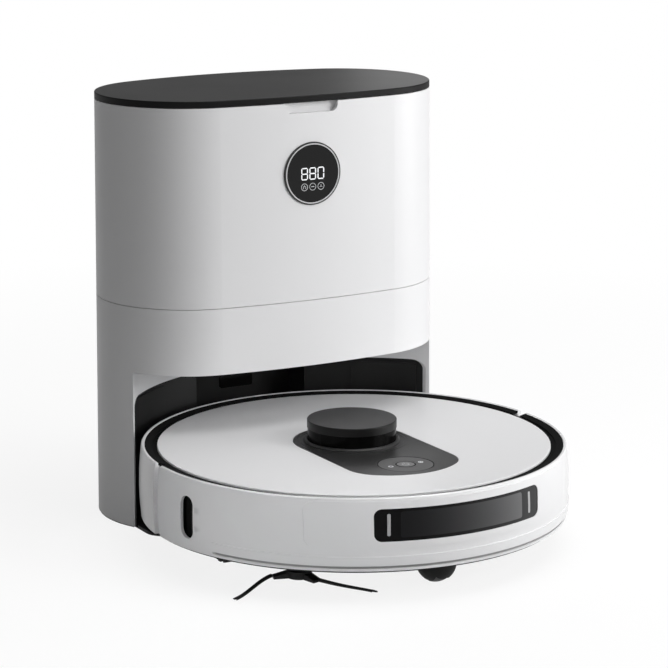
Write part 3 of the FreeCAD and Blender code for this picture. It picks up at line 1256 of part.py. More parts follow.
def side_brush_hub():
    """Soft hub with three stub arms and a shaft into the drive."""
    z0 = CHASSIS_Z - 5.4
    hub = cyl(SIDE_BRUSH_HUB_R, z0, CHASSIS_Z + 0.4)
    for i in range(SIDE_BRUSH_ARMS):
        arm = block(0, 21.0, -4.0, 4.0, z0, z0 + 4.6)
        arm = arm.cut(Part.makeBox(40, 20, 20, vec(10.0, -10, z0 + 4.6), vec(0.25, 0, 1)))
        arm.rotate(ORIGIN, UP, side_brush_turn(i))
        hub = hub.fuse(arm)
    hub = hub.fuse(cyl(3.0, CHASSIS_Z, CHASSIS_Z + 11.5))
    hub = hub.cut(cyl(3.6, z0 - 1.0, z0 + 1.6))
    return placed(hub, vec(SIDE_BRUSH_X, SIDE_BRUSH_Y, 0))


def side_brush_turn(i):
    return 43.0 + i * 360.0 / SIDE_BRUSH_ARMS


def bristle_centre(share):
    """Curved path of a tuft: radius grows, the tuft sweeps back and sinks."""
    radius = BRISTLE_R0 + (SIDE_BRUSH_R - BRISTLE_R0) * share
    deg = BRISTLE_SWEEP * (1.0 - (1.0 - share) ** 2)
    z = 1.4 + 7.5 * max(0.0, 1.0 - share ** 1.2) ** 1.6
    a = math.radians(deg)
    return vec(radius * math.cos(a), radius * math.sin(a), z)


def side_brush_bristles():
    """Three flat tufts, curved as bristles are after some use."""
    tufts = []
    for i in range(SIDE_BRUSH_ARMS):
        sections = []
        for share in (0.0, 0.2, 0.4, 0.6, 0.8, 1.0):
            here = bristle_centre(share)
            ahead = bristle_centre(share + 0.02) - here
            half_w = 1.8 + 1.2 * share
            half_h = 1.4 - 0.8 * share
            across = vec(-ahead.y, ahead.x, 0).normalize()
            corners = [here + across * half_w + UP * half_h, here - across * half_w + UP * half_h,
                       here - across * half_w - UP * half_h, here + across * half_w - UP * half_h]
            sections.append(polygon(corners))
        tuft = Part.makeLoft(sections, True, True)
        tuft.rotate(ORIGIN, UP, side_brush_turn(i))
        tufts.append(placed(tuft, vec(SIDE_BRUSH_X, SIDE_BRUSH_Y, 0)))
    return Part.makeCompound(tufts)


# --- deck, cover, island and turret
def island_wire(gap, z):
    """Island outline: half circle round the turret, straight flanks, soft nose."""
    half = ISLAND_HALF_W - gap
    corner = ISLAND_CORNER_R - gap
    reach = ISLAND_REACH - gap
    inset = ISLAND_HALF_W - ISLAND_CORNER_R
    radius = (inset ** 2 + reach ** 2 - corner ** 2) / (2.0 * (reach - corner))
    length = radius - corner
    nose_y = ISLAND_CORNER_Y - corner * (radius - reach) / length
    nose_x = inset + corner * inset / length
    mid_deg = (math.degrees(math.atan2(ISLAND_CORNER_Y - nose_y, nose_x - inset))) / 2.0
    mid_x = inset + corner * math.cos(math.radians(mid_deg))
    mid_y = ISLAND_CORNER_Y - corner * math.sin(math.radians(mid_deg))
    y0 = ISLAND_CORNER_Y
    edges = [
        Part.Arc(vec(half, TURRET_Y, z), vec(0, TURRET_Y + half, z), vec(-half, TURRET_Y, z)),
        Part.LineSegment(vec(-half, TURRET_Y, z), vec(-half, y0, z)),
        Part.Arc(vec(-half, y0, z), vec(-mid_x, mid_y, z), vec(-nose_x, nose_y, z)),
        Part.Arc(vec(-nose_x, nose_y, z), vec(0, y0 - reach, z), vec(nose_x, nose_y, z)),
        Part.Arc(vec(nose_x, nose_y, z), vec(mid_x, mid_y, z), vec(half, y0, z)),
        Part.LineSegment(vec(half, y0, z), vec(half, TURRET_Y, z)),
    ]
    return Part.Wire([e.toShape() for e in edges])


def island_solid(gap, z0, z1):
    return Part.Face(island_wire(gap, z0)).extrude(vec(0, 0, z1 - z0))


def top_deck():
    """Dark deck: recess for the cover, groove ring round it and sockets."""
    floor_top = COVER_Z - COVER_T
    deck = cyl(RING_R, DECK_Z0, floor_top)
    rear = sector(SIDE_DEG + 5.0, 355.0 - SIDE_DEG, RIM_IN - LEDGE - 0.1, 0, DECK_Z0, RING_Z)
    trim = trim_ring([(TRIM_R, RING_Z - 0.2), (RING_R, RING_Z - 0.2), (RING_R, TRIM_Z0)])
    trim = trim.common(sector(SIDE_DEG + 0.2, 359.8 - SIDE_DEG, BIG, 0, 0, 200))
    ring = cyl(RING_R, floor_top - 0.1, RING_Z).fuse(rear).fuse(trim)
    deck = deck.fuse(ring).cut(cyl(COVER_R + COVER_GAP, floor_top, RIM_Z))
    deck = deck.cut(cyl(HEAD_R + 7.0 + 0.3, 0, 200, 0, TURRET_Y))
    for x in (0.0, -16.0, 16.0):
        deck = deck.cut(cyl(2.6, 0, 200, x, BUTTON_Y))
    return deck.removeSplitter()


def top_cover():
    """White disc with the island's outline cut out of it."""
    z0 = COVER_Z - COVER_T
    disc = cyl(COVER_R, z0, COVER_Z)
    edges = [e for e in disc.Edges if e.BoundBox.ZMin > COVER_Z - 0.01]
    disc = disc.makeFillet(0.7, edges)
    return disc.cut(island_solid(-COVER_GAP, z0 - 1, COVER_Z + 1))


def control_island():
    """Dark island with the button seat and the turret opening."""
    z0 = COVER_Z - COVER_T
    plate = island_solid(0.0, z0, ISLAND_Z)
    edges = [e for e in plate.Edges if e.BoundBox.ZMin > ISLAND_Z - 0.01]
    plate = plate.makeFillet(0.5, edges)
    plate = plate.cut(cyl(HEAD_R + 7.0 + 0.3, 0, 200, 0, TURRET_Y))
    for radius in ISLAND_RINGS:
        plate = plate.cut(tube(radius + ISLAND_RING_W, radius, ISLAND_Z - 0.25, ISLAND_Z + 1.0,
                               0, TURRET_Y))
    seat_z = ISLAND_Z - BUTTON_T
    plate = plate.cut(cyl(PAD_R + BUTTON_GAP, z0 - 1, 200, 0, BUTTON_Y))
    for side in (-1.0, 1.0):
        y0 = BUTTON_Y + side * (PAD_R + 1.6)
        groove = cyl_y(1.3 + PIN_FIT, y0 - 2.2, y0 + 2.2, 0, seat_z + 0.4)
        plate = plate.cut(groove).cut(block(-1.3, 1.3, y0 - 2.2, y0 + 2.2, z0 - 1, seat_z + 0.4))
    return plate.removeSplitter()


def rocker_button():
    """Ring that rocks left and right on two trunnions."""
    z0 = ISLAND_Z - BUTTON_T
    ring = tube(PAD_R, POWER_R + BUTTON_GAP, z0, ISLAND_Z - 0.1, 0, BUTTON_Y)
    ring = ring.cut(tube(POWER_R + 3.0, POWER_R + 2.6, ISLAND_Z - 0.4, 200, 0, BUTTON_Y))
    for side in (-1.0, 1.0):
        y0 = BUTTON_Y + side * (PAD_R + 0.6)
        ring = ring.fuse(cyl_y(1.3, y0 - 2.4, y0 + 2.4, 0, z0 + 0.4).common(
            block(-5, 5, -BIG, BIG, z0 - 0.5, BIG)))
        ring = ring.fuse(cyl(2.0, z0 - 2.6, z0 + 0.5, side * 16.0, BUTTON_Y))
    return ring.removeSplitter()


def power_button():
    z0 = ISLAND_Z - BUTTON_T
    cap = cyl(POWER_R, z0, ISLAND_Z, 0, BUTTON_Y)
    cap = cap.makeFillet(0.3, [e for e in cap.Edges if e.BoundBox.ZMin > ISLAND_Z - 0.01])
    return cap.fuse(cyl(2.0, z0 - 2.6, z0 + 0.5, 0, BUTTON_Y))


def lidar_base():
    """Bearing seat under the turret, with the raised ring that shows on the island."""
    outer = HEAD_R + 7.0
    inner = HEAD_R + 4.0
    floor_z = BELT_Z0 - 4.0
    flange = tube(BASE_RING_R, HEAD_R + 3.0, ISLAND_Z, ISLAND_Z + 1.0, 0, TURRET_Y)
    lip = revolve([(WINDOW_RING_R + 0.5, ISLAND_Z + 0.9), (BASE_RING_R, ISLAND_Z + 0.9),
                   (BASE_RING_R - 0.2, ISLAND_Z + BASE_RING_H - 1.0),
                   (BASE_RING_R - 1.2, ISLAND_Z + BASE_RING_H),
                   (WINDOW_RING_R + 0.5, ISLAND_Z + BASE_RING_H)], 0, TURRET_Y)
    wall = tube(outer, inner, floor_z, ISLAND_Z + 0.1, 0, TURRET_Y)
    floor = cyl(outer, floor_z - 2.0, floor_z, 0, TURRET_Y)
    bearing = cyl(10.0, floor_z - 12.0, floor_z, 0, TURRET_Y)
    bracket = block(HEAD_R + 5.0, MOTOR_X + 10.0, TURRET_Y - 7.0, TURRET_Y + 7.0,
                    BELT_Z0 - 4.0, BELT_Z0 - 2.2)
    bracket = bracket.cut(cyl(2.0, 0, BIG, MOTOR_X, TURRET_Y))
    base = flange.fuse(lip).fuse(wall).fuse(floor).fuse(bearing).fuse(bracket)
    base = base.cut(cyl(6.0 + PIN_FIT, floor_z - 11.0, BIG, 0, TURRET_Y))
    gate = block(HEAD_R - 6.0, outer + 5.0, TURRET_Y - HEAD_PULLEY_R - 1.0,
                 TURRET_Y + HEAD_PULLEY_R + 1.0, BELT_Z0 - 1.2, BELT_Z1 + 1.2)
    return base.cut(gate).removeSplitter()


def lidar_head():
    """Spinning head with two lens windows, its belt groove and bearing pin."""
    pulley_z0 = BELT_Z0 - 1.5
    pulley_z1 = BELT_Z1 + 0.8
    drum_z1 = TURRET_Z - 4.0
    body = revolve([(0, pulley_z0), (HEAD_R - 1.0, pulley_z0), (HEAD_R - 1.0, BELT_Z0 - 0.1),
                    (HEAD_PULLEY_R, BELT_Z0 - 0.1), (HEAD_PULLEY_R, BELT_Z1 + 0.1),
                    (HEAD_R - 1.0, BELT_Z1 + 0.1), (HEAD_R - 1.0, pulley_z1),
                    (HEAD_R, pulley_z1 + 1.0), (HEAD_R, drum_z1 - 1.5), (HEAD_R - 1.5, drum_z1),
                    (0, drum_z1)], 0, TURRET_Y)
    face = block(-BIG, BIG, TURRET_Y - BIG, TURRET_Y - HEAD_R + 4.0, ISLAND_Z + 2.0, drum_z1 - 3.0)
    body = body.cut(face)
    for x, radius in ((-9.0, 4.2), (10.0, 5.4)):
        z = (ISLAND_Z + 2.0 + drum_z1 - 3.0) / 2.0
        body = body.cut(cyl_y(min(radius, 4.2), TURRET_Y - HEAD_R, TURRET_Y - HEAD_R + 9.0, x, z))
    pin = cyl(6.0, pulley_z0 - 8.0, pulley_z0 + 0.5, 0, TURRET_Y)
    return body.fuse(pin).removeSplitter()


def belt_outline(grow, z):
    """Open belt line round the two pulleys, from outer tangents."""
    big = HEAD_PULLEY_R + PIN_FIT + grow
    small = MOTOR_PULLEY_R + PIN_FIT + grow
    a = math.acos((big - small) / MOTOR_X)
    bx, by = big * math.cos(a), big * math.sin(a)
    sx, sy = MOTOR_X + small * math.cos(a), small * math.sin(a)
    y = TURRET_Y
    edges = [
        Part.Arc(vec(bx, y + by, z), vec(-big, y, z), vec(bx, y - by, z)),
        Part.LineSegment(vec(bx, y - by, z), vec(sx, y - sy, z)),
        Part.Arc(vec(sx, y - sy, z), vec(MOTOR_X + small, y, z), vec(sx, y + sy, z)),
        Part.LineSegment(vec(sx, y + sy, z), vec(bx, y + by, z)),
    ]
    return Part.Wire([e.toShape() for e in edges])


def lidar_belt():
    lift = vec(0, 0, BELT_Z1 - BELT_Z0)
    outer = Part.Face(belt_outline(BELT_T, BELT_Z0)).extrude(lift)
    return outer.cut(Part.Face(belt_outline(0.0, BELT_Z0)).extrude(lift))


def lidar_motor():
    can = cyl(9.0, BELT_Z0 - 22.0, BELT_Z0 - 4.0, MOTOR_X, TURRET_Y)
    can = can.fuse(block(MOTOR_X - 11.0, MOTOR_X + 11.0, TURRET_Y - 6.0, TURRET_Y + 6.0,
                         BELT_Z0 - 6.0, BELT_Z0 - 4.0))
    return can.cut(cyl(1.0 + PIN_FIT, BELT_Z0 - 18.0, BIG, MOTOR_X, TURRET_Y))


def lidar_pulley():
    rim = MOTOR_PULLEY_R + 1.5
    body = revolve([(0, BELT_Z0 - 1.5), (rim, BELT_Z0 - 1.5), (rim, BELT_Z0 - 0.1),
                    (MOTOR_PULLEY_R, BELT_Z0 - 0.1), (MOTOR_PULLEY_R, BELT_Z1 + 0.1),
                    (rim, BELT_Z1 + 0.1), (rim, BELT_Z1 + 1.4), (0, BELT_Z1 + 1.4)],
                   MOTOR_X, TURRET_Y)
    return body.fuse(cyl(1.0, BELT_Z0 - 17.0, BELT_Z0, MOTOR_X, TURRET_Y))


def lidar_window():
    z1 = TURRET_Z - CAP_H
    return tube(WINDOW_RING_R, WINDOW_RING_R - WINDOW_RING_WALL, ISLAND_Z + 1.0, z1, 0, TURRET_Y)


def lidar_cap():
    """Shallow cap over the spinning head."""
    z0 = TURRET_Z - CAP_H
    cap = cyl(TURRET_R, z0, TURRET_Z, 0, TURRET_Y)
    cap = cap.makeFillet(0.8, [e for e in cap.Edges if e.BoundBox.ZMin > TURRET_Z - 0.01])
    return cap.cut(cyl(WINDOW_RING_R - WINDOW_RING_WALL - 0.4, z0 - 1, TURRET_Z - 2.2, 0, TURRET_Y))


# --- inside the robot
def dustbin():
    """Bin behind the brush: curved back, outlet spout and inlet mouth."""
    z0 = FLOOR_Z + 0.5
    z1 = DECK_Z0 - 2.0
    body = block(-70.0, 56.0, BRUSH_Y + 32.0, BIG, z0, z1)
    body = body.common(cyl(FRAME_R - FRAME_WALL - 1.0, 0, BIG))
    inside = block(-68.0, 54.0, BRUSH_Y + 34.0, BIG, z0 + 2.0, z1 - 2.0)
    inside = inside.common(cyl(FRAME_R - FRAME_WALL - 3.0, 0, BIG))
    spout = outlet_slab(0.3).common(cyl(ROBOT_R - 0.6, 0, 100))
    spout = spout.cut(block(-BIG, BIG, -BIG, FRAME_R - 12.0, 0, 100))
    body = body.cut(below_belly(CHASSIS_T + 0.5))
    inside = inside.cut(below_belly(CHASSIS_T + 2.5))
    hollow = outlet_slab(2.2)
    inlet = block(-32.0, 32.0, BRUSH_Y + 26.0, BRUSH_Y + 36.0, BRUSH_Z + 4.5, BRUSH_Z + 13.5)
    neck = block(-33.5, 33.5, BRUSH_Y + BRUSH_R + BRUSH_ROOM + 2.5, BRUSH_Y + 33.0,
                 BRUSH_Z + 3.0, BRUSH_Z + 15.0)
    body = body.fuse(spout).fuse(neck).cut(inside).cut(hollow)
    room = block(-31.5, 31.5, BRUSH_Y, BRUSH_Y + 40.0, BRUSH_Z + 5.0, BRUSH_Z + 13.0)
    return body.cut(inlet).cut(room).removeSplitter()


def suction_fan():
    spot = on_circle(138.65, FRAME_R - 27.3)
    x, y = spot.x, spot.y
    z0 = belly_z(FRAME_R) + CHASSIS_T + 0.5
    can = cyl(23.0, z0, z0 + 24.0, x, y).fuse(cyl(15.0, z0 + 24.0, z0 + 40.0, x, y))
    duct = block(57.0, x, y - 8.0, y + 8.0, z0 + 1.0, z0 + 17.0)
    body = can.fuse(duct)
    return body.cut(block(56.0, x - 18.0, y - 6.0, y + 6.0, z0 + 3.0, z0 + 15.0))


def battery_pack():
    """Eight cells in a shrink-wrapped pack."""
    cell_r = 9.2
    cells = []
    for i in range(4):
        for j in range(2):
            x = (i - 1.5) * 2.0 * cell_r
            z = FLOOR_Z + 0.2 + cell_r + j * 2.0 * cell_r
            cells.append(cyl_y(cell_r + 0.01, -88.0, -22.0, x, z))
    pack = cells[0].multiFuse(cells[1:])
    core = block(-3.0 * cell_r, 3.0 * cell_r, -86.0, -24.0, FLOOR_Z + 0.2 + 0.3 * cell_r,
                 FLOOR_Z + 0.2 + 3.7 * cell_r)
    return pack.fuse(core).removeSplitter()


def main_board():
    board = rounded_rect(-56.0, 56.0, -96.0, -30.0, 4.0, BOARD_Z, BOARD_Z + 1.6)
    for x, y, size in ((-20.0, -60.0, 12.0), (18.0, -66.0, 9.0), (4.0, -44.0, 6.0)):
        board = board.fuse(block(x - size, x + size, y - size / 2.0, y + size / 2.0,
                                 BOARD_Z + 1.5, BOARD_Z + 3.6))
    return board


def both_sides(name, shape):
    write_robot("right_" + name, shape)
    write_robot("left_" + name, mirrored_x(shape))


def build_robot():
    write_robot("chassis_base", chassis_base())
    write_robot("bumper", bumper())
    write_robot("bumper_trim", bumper_trim())
    write_robot("sensor_window", sensor_window())
    write_robot("window_bars", window_bars())
    write_robot("rear_side_wall", rear_side_wall())
    write_robot("robot_contacts", robot_contacts())
    write_robot("wall_sensor", wall_sensor())
    write_robot("top_deck", top_deck())
    write_robot("top_cover", top_cover())
    write_robot("control_island", control_island())
    write_robot("rocker_button", rocker_button())
    write_robot("power_button", power_button())
    write_robot("lidar_base", lidar_base())
    write_robot("lidar_head", lidar_head())
    write_robot("lidar_belt", lidar_belt())
    write_robot("lidar_motor", lidar_motor())
    write_robot("lidar_pulley", lidar_pulley())
    write_robot("lidar_window", lidar_window())
    write_robot("lidar_cap", lidar_cap())
    write_robot("caster_fork", caster_fork())
    write_robot("caster_wheel", caster_wheel())
    both_sides("wheel_arm", wheel_arm())
    both_sides("wheel", drive_wheel())
    both_sides("tyre", drive_tyre())
    write_robot("main_brush", main_brush())
    write_robot("brush_guard", brush_guard())
    write_robot("side_brush_hub", side_brush_hub())
    write_robot("side_brush_bristles", side_brush_bristles())
    write_robot("dustbin", dustbin())
    write_robot("suction_fan", suction_fan())
    write_robot("battery_pack", battery_pack())
    write_robot("main_board", main_board())
    write_robot("cliff_sensors", cliff_windows(0.1))
    write_robot("robot_screws", robot_screws())


os.makedirs("parts", exist_ok=True)
build_dock()
build_robot()
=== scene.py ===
import bpy
import bmesh
import json
import math
import random
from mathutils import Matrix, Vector, noise as turbulence


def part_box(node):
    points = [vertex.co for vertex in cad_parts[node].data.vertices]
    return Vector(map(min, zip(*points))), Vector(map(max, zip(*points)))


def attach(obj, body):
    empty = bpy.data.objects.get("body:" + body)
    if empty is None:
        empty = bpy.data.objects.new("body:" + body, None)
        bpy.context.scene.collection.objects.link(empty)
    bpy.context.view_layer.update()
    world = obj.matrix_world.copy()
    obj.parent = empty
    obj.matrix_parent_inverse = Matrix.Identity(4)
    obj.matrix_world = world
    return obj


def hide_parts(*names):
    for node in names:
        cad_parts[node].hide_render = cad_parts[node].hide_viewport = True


# Robot vacuum parked at its self-emptying dock: finishes, markings and soft parts
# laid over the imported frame.  Metres, +Z up, both machines face -Y.

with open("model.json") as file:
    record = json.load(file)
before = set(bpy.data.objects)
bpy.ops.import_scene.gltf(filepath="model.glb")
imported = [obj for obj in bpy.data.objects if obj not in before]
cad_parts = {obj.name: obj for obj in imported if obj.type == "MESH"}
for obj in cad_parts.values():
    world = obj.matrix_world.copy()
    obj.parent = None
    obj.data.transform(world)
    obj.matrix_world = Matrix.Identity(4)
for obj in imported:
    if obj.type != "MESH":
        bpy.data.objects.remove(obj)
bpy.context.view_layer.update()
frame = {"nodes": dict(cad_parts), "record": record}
nodes = frame["nodes"]
slot_of = {p["node"]: p["material_slot"] for p in frame["record"]["subparts"]}
ROBOT_Y = -0.1513        # robot axis in front of the dock's middle
MM = 0.001
BUTTON_Y = ROBOT_Y - 82.0 * MM
PAD_R = 22.5 * MM
POWER_R = 7.5 * MM


# ------------------------------------------------------------ shader groups
def new_group(name, inputs, outputs):
    """Empty shader node group with float or colour sockets."""
    group = bpy.data.node_groups.new(name, "ShaderNodeTree")
    for label, kind, value in inputs:
        socket = group.interface.new_socket(label, in_out="INPUT", socket_type=kind)
        socket.default_value = value
    for label, kind in outputs:
        group.interface.new_socket(label, in_out="OUTPUT", socket_type=kind)
    return group, group.nodes.new("NodeGroupInput"), group.nodes.new("NodeGroupOutput")


FLOAT = "NodeSocketFloat"
COLOUR = "NodeSocketColor"


def add(tree, kind, **settings):
    node = tree.nodes.new(kind)
    for key, value in settings.items():
        setattr(node, key, value)
    return node


def noise(tree, vector, scale, detail=3.0, rough=0.5):
    node = add(tree, "ShaderNodeTexNoise")
    node.inputs["Detail"].default_value = detail
    node.inputs["Roughness"].default_value = rough
    tree.links.new(vector, node.inputs["Vector"])
    if isinstance(scale, (int, float)):
        node.inputs["Scale"].default_value = scale
    else:
        tree.links.new(scale, node.inputs["Scale"])
    return node.outputs["Fac"]


def maths(tree, operation, a, b=0.0, clamp=False):
    node = add(tree, "ShaderNodeMath", operation=operation, use_clamp=clamp)
    for socket, value in zip(node.inputs, (a, b)):
        if isinstance(value, (int, float)):
            socket.default_value = value
        else:
            tree.links.new(value, socket)
    return node.outputs[0]


def blend_colour(tree, factor, a, b, mode="MIX"):
    node = add(tree, "ShaderNodeMix", data_type="RGBA", blend_type=mode)
    for socket, value in ((node.inputs[0], factor), (node.inputs[6], a), (node.inputs[7], b)):
        if isinstance(value, (int, float, tuple)):
            socket.default_value = value
        else:
            tree.links.new(value, socket)
    return node.outputs[2]


def distance(tree, a, b):
    """Length of the vector with the two parts a and b."""
    return maths(tree, "SQRT", maths(tree, "ADD", maths(tree, "MULTIPLY", a, a),
                                     maths(tree, "MULTIPLY", b, b)))


def swing_round(tree, value, middle, share):
    """1 plus a share of how far a value lies from its middle."""
    return maths(tree, "ADD", maths(tree, "MULTIPLY", maths(tree, "SUBTRACT", value, middle),
                                    share), 1.0)


def shade_colour(group, given, result, level):
    """Feeds the group's colour output with its colour input times a level."""
    tint = add(group, "ShaderNodeVectorMath", operation="SCALE")
    group.links.new(given.outputs["Colour"], tint.inputs[0])
    group.links.new(level, tint.inputs["Scale"])
    group.links.new(tint.outputs[0], result.inputs["Colour"])


def make_moulding():
    """Moulded plastic: slow drift in tone, fine spark-eroded grain, faint handling marks."""
    group, given, result = new_group(
        "moulded_skin",
        [("Colour", COLOUR, (0.8, 0.8, 0.8, 1)), ("Tone", FLOAT, 0.03),
         ("Grain Scale", FLOAT, 2500.0), ("Rough", FLOAT, 0.3), ("Rough Spread", FLOAT, 0.06)],
        [("Colour", COLOUR), ("Roughness", FLOAT), ("Height", FLOAT)])
    place = add(group, "ShaderNodeTexCoord").outputs["Object"]
    drift = noise(group, place, scale=9.0, detail=2.0)
    grain = noise(group, place, given.outputs["Grain Scale"], detail=2.0, rough=0.6)
    smear = noise(group, place, scale=14.0, detail=2.0)
    swing = maths(group, "MULTIPLY", maths(group, "SUBTRACT", drift, 0.5), given.outputs["Tone"])
    fine = maths(group, "MULTIPLY", maths(group, "SUBTRACT", grain, 0.5),
                 maths(group, "MULTIPLY", given.outputs["Tone"], 0.8))
    shade_colour(group, given, result,
                 maths(group, "ADD", maths(group, "ADD", swing, fine), 1.0))
    spread = maths(group, "MULTIPLY", maths(group, "SUBTRACT", smear, 0.5),
                   given.outputs["Rough Spread"])
    rough = maths(group, "ADD", given.outputs["Rough"], spread, clamp=True)
    group.links.new(rough, result.inputs["Roughness"])
    group.links.new(grain, result.inputs["Height"])
    return group


def make_fibres():
    """Paper and card: short crossing fibres and a cloudy tone."""
    group, given, result = new_group(
        "paper_fibres",
        [("Colour", COLOUR, (0.7, 0.7, 0.66, 1)), ("Fibre Scale", FLOAT, 900.0),
         ("Tone", FLOAT, 0.12)],
        [("Colour", COLOUR), ("Roughness", FLOAT), ("Height", FLOAT)])
    place = add(group, "ShaderNodeTexCoord").outputs["Object"]
    link = group.links.new
    heights = []
    for stretch in ((1.0, 0.12, 0.2), (0.15, 1.0, 0.7), (0.6, 0.25, 1.0)):
        mapping = add(group, "ShaderNodeMapping")
        mapping.inputs["Scale"].default_value = stretch
        link(place, mapping.inputs["Vector"])
        heights.append(noise(group, mapping.outputs[0], given.outputs["Fibre Scale"],
                             detail=4.0, rough=0.6))
    fibre = maths(group, "MAXIMUM", maths(group, "MAXIMUM", heights[0], heights[1]), heights[2])
    cloud = noise(group, place, scale=60.0, detail=4.0)
    mixed = maths(group, "ADD", maths(group, "MULTIPLY", fibre, 0.6),
                  maths(group, "MULTIPLY", cloud, 0.4))
    shade_colour(group, given, result, swing_round(group, mixed, 0.5, given.outputs["Tone"]))
    link(maths(group, "ADD", 0.78, maths(group, "MULTIPLY", fibre, 0.15)),
         result.inputs["Roughness"])
    link(fibre, result.inputs["Height"])
    return group


def make_brushing():
    """Drawn or turned metal: streaks along one axis."""
    group, given, result = new_group(
        "metal_streaks",
        [("Colour", COLOUR, (0.6, 0.6, 0.6, 1)), ("Rough", FLOAT, 0.25),
         ("Streak Scale", FLOAT, 900.0)],
        [("Colour", COLOUR), ("Roughness", FLOAT), ("Height", FLOAT)])
    place = add(group, "ShaderNodeTexCoord").outputs["Object"]
    link = group.links.new
    mapping = add(group, "ShaderNodeMapping")
    mapping.inputs["Scale"].default_value = (0.05, 1.0, 1.0)
    link(place, mapping.inputs["Vector"])
    streak = noise(group, mapping.outputs[0], given.outputs["Streak Scale"], rough=0.6)
    shade_colour(group, given, result, swing_round(group, streak, 0.5, 0.25))
    link(maths(group, "ADD", given.outputs["Rough"],
               maths(group, "MULTIPLY", streak, 0.18), clamp=True), result.inputs["Roughness"])
    link(streak, result.inputs["Height"])
    return group


MOULDING = make_moulding()
FIBRES = make_fibres()
BRUSHING = make_brushing()


# ---------------------------------------------------------------- materials
def blank_material(name):
    material = bpy.data.materials.new(name)
    material.use_nodes = True
    tree = material.node_tree
    shader = tree.nodes["Principled BSDF"]
    return material, tree, shader


def wear_group(tree, shader, group, values, bump, reach):
    """Places a skin group in a material and feeds colour, roughness and bump from it."""
    node = add(tree, "ShaderNodeGroup", node_tree=group)
    for key, value in values.items():
        node.inputs[key].default_value = value
    tree.links.new(node.outputs["Colour"], shader.inputs["Base Color"])
    tree.links.new(node.outputs["Roughness"], shader.inputs["Roughness"])
    dent = add(tree, "ShaderNodeBump")
    dent.inputs["Strength"].default_value = bump
    dent.inputs["Distance"].default_value = reach
    tree.links.new(node.outputs["Height"], dent.inputs["Height"])
    tree.links.new(dent.outputs[0], shader.inputs["Normal"])


def plastic(name, grey, rough, grain=2500.0, bump=0.1, reach=0.05 * MM, tone=0.03, spread=0.06,
            coat=0.0, specular=0.5):
    """Moulded plastic in a grey or a colour; reach is how deep its grain is."""
    material, tree, shader = blank_material(name)
    colour = grey if isinstance(grey, tuple) else (grey, grey, grey * 1.01)
    wear_group(tree, shader, MOULDING,
               {"Colour": colour + (1,), "Tone": tone, "Grain Scale": grain, "Rough": rough,
                "Rough Spread": spread}, bump, reach)
    shader.inputs["Coat Weight"].default_value = coat
    shader.inputs["Coat Roughness"].default_value = 0.08
    shader.inputs["Specular IOR Level"].default_value = specular
    return material


def paper(name, colour, scale=900.0, tone=0.12):
    material, tree, shader = blank_material(name)
    wear_group(tree, shader, FIBRES, {"Colour": colour + (1,), "Fibre Scale": scale, "Tone": tone},
               bump=0.35, reach=0.2 * MM)
    return material


def metal(name, grey, rough, scale=900.0):
    material, tree, shader = blank_material(name)
    wear_group(tree, shader, BRUSHING,
               {"Colour": (grey, grey, grey * 1.01, 1), "Rough": rough, "Streak Scale": scale},
               bump=0.08, reach=0.03 * MM)
    shader.inputs["Metallic"].default_value = 1.0
    return material


def smoked(name):
    """Dark plastic of the turret's band, which lets only a little light through."""
    material = plastic(name, 0.003, 0.10, grain=700.0, bump=0.02, tone=0.02, spread=0.02,
                       specular=0.03)
    shader = material.node_tree.nodes["Principled BSDF"]
    shader.inputs["Transmission Weight"].default_value = 0.05
    shader.inputs["IOR"].default_value = 1.45
    return material


def soft_step(tree, value, edge, width):
    """1 below the edge, 0 above it, over a narrow ramp."""
    ramp = maths(tree, "DIVIDE", maths(tree, "SUBTRACT", edge, value), width)
    return maths(tree, "ADD", ramp, 0.5, clamp=True)


def split(tree, vector):
    node = add(tree, "ShaderNodeSeparateXYZ")
    tree.links.new(vector, node.inputs[0])
    return node.outputs


def tint_where(material, mask, colour, rough=None):
    """Lays a second colour, and a second roughness, over a plastic where the mask is 1."""
    tree = material.node_tree
    shader = tree.nodes["Principled BSDF"]
    under = shader.inputs["Base Color"].links[0].from_socket
    over = colour + (1,) if isinstance(colour, tuple) else colour
    tree.links.new(blend_colour(tree, mask, under, over), shader.inputs["Base Color"])
    if rough is not None:
        under = shader.inputs["Roughness"].links[0].from_socket
        swing = maths(tree, "MULTIPLY", maths(tree, "SUBTRACT", rough, under), mask)
        tree.links.new(maths(tree, "ADD", under, swing), shader.inputs["Roughness"])


def dark_sided(material, grey, rough):
    """Gives everything but the level top of a moulding a deeper black."""
    tree = material.node_tree
    _, _, level = split(tree, add(tree, "ShaderNodeTexCoord").outputs["Normal"])
    tint_where(material, soft_step(tree, level, 0.72, 0.2), (grey, grey, grey), rough)
    return material


def bezel_finish(name, centre_z, bright_r):
    """Black ring with a bright inner step."""
    material = plastic(name, 0.018, 0.26, grain=1500.0, bump=0.04, tone=0.05)
    tree = material.node_tree
    x, _, z = split(tree, add(tree, "ShaderNodeTexCoord").outputs["Object"])
    radius = distance(tree, x, maths(tree, "SUBTRACT", z, centre_z))
    tint_where(material, soft_step(tree, radius, bright_r, 0.08 * MM), (0.62, 0.62, 0.63), 0.3)
    return material


def button_gap_shade(material, rings):
    """Painted shade: dark rings over the gaps round the buttons, where the gaps lie in shadow;
    each is a radius and a half width.
    """
    tree = material.node_tree
    x, y, _ = split(tree, add(tree, "ShaderNodeTexCoord").outputs["Object"])
    radius = distance(tree, x, maths(tree, "SUBTRACT", y, BUTTON_Y))
    mask = 0.0
    for middle, half in rings:
        off = maths(tree, "ABSOLUTE", maths(tree, "SUBTRACT", radius, middle))
        mask = maths(tree, "MAXIMUM", mask, soft_step(tree, off, half, 0.25 * MM))
    tint_where(material, mask, (0.003, 0.003, 0.003), 0.7)
    return material


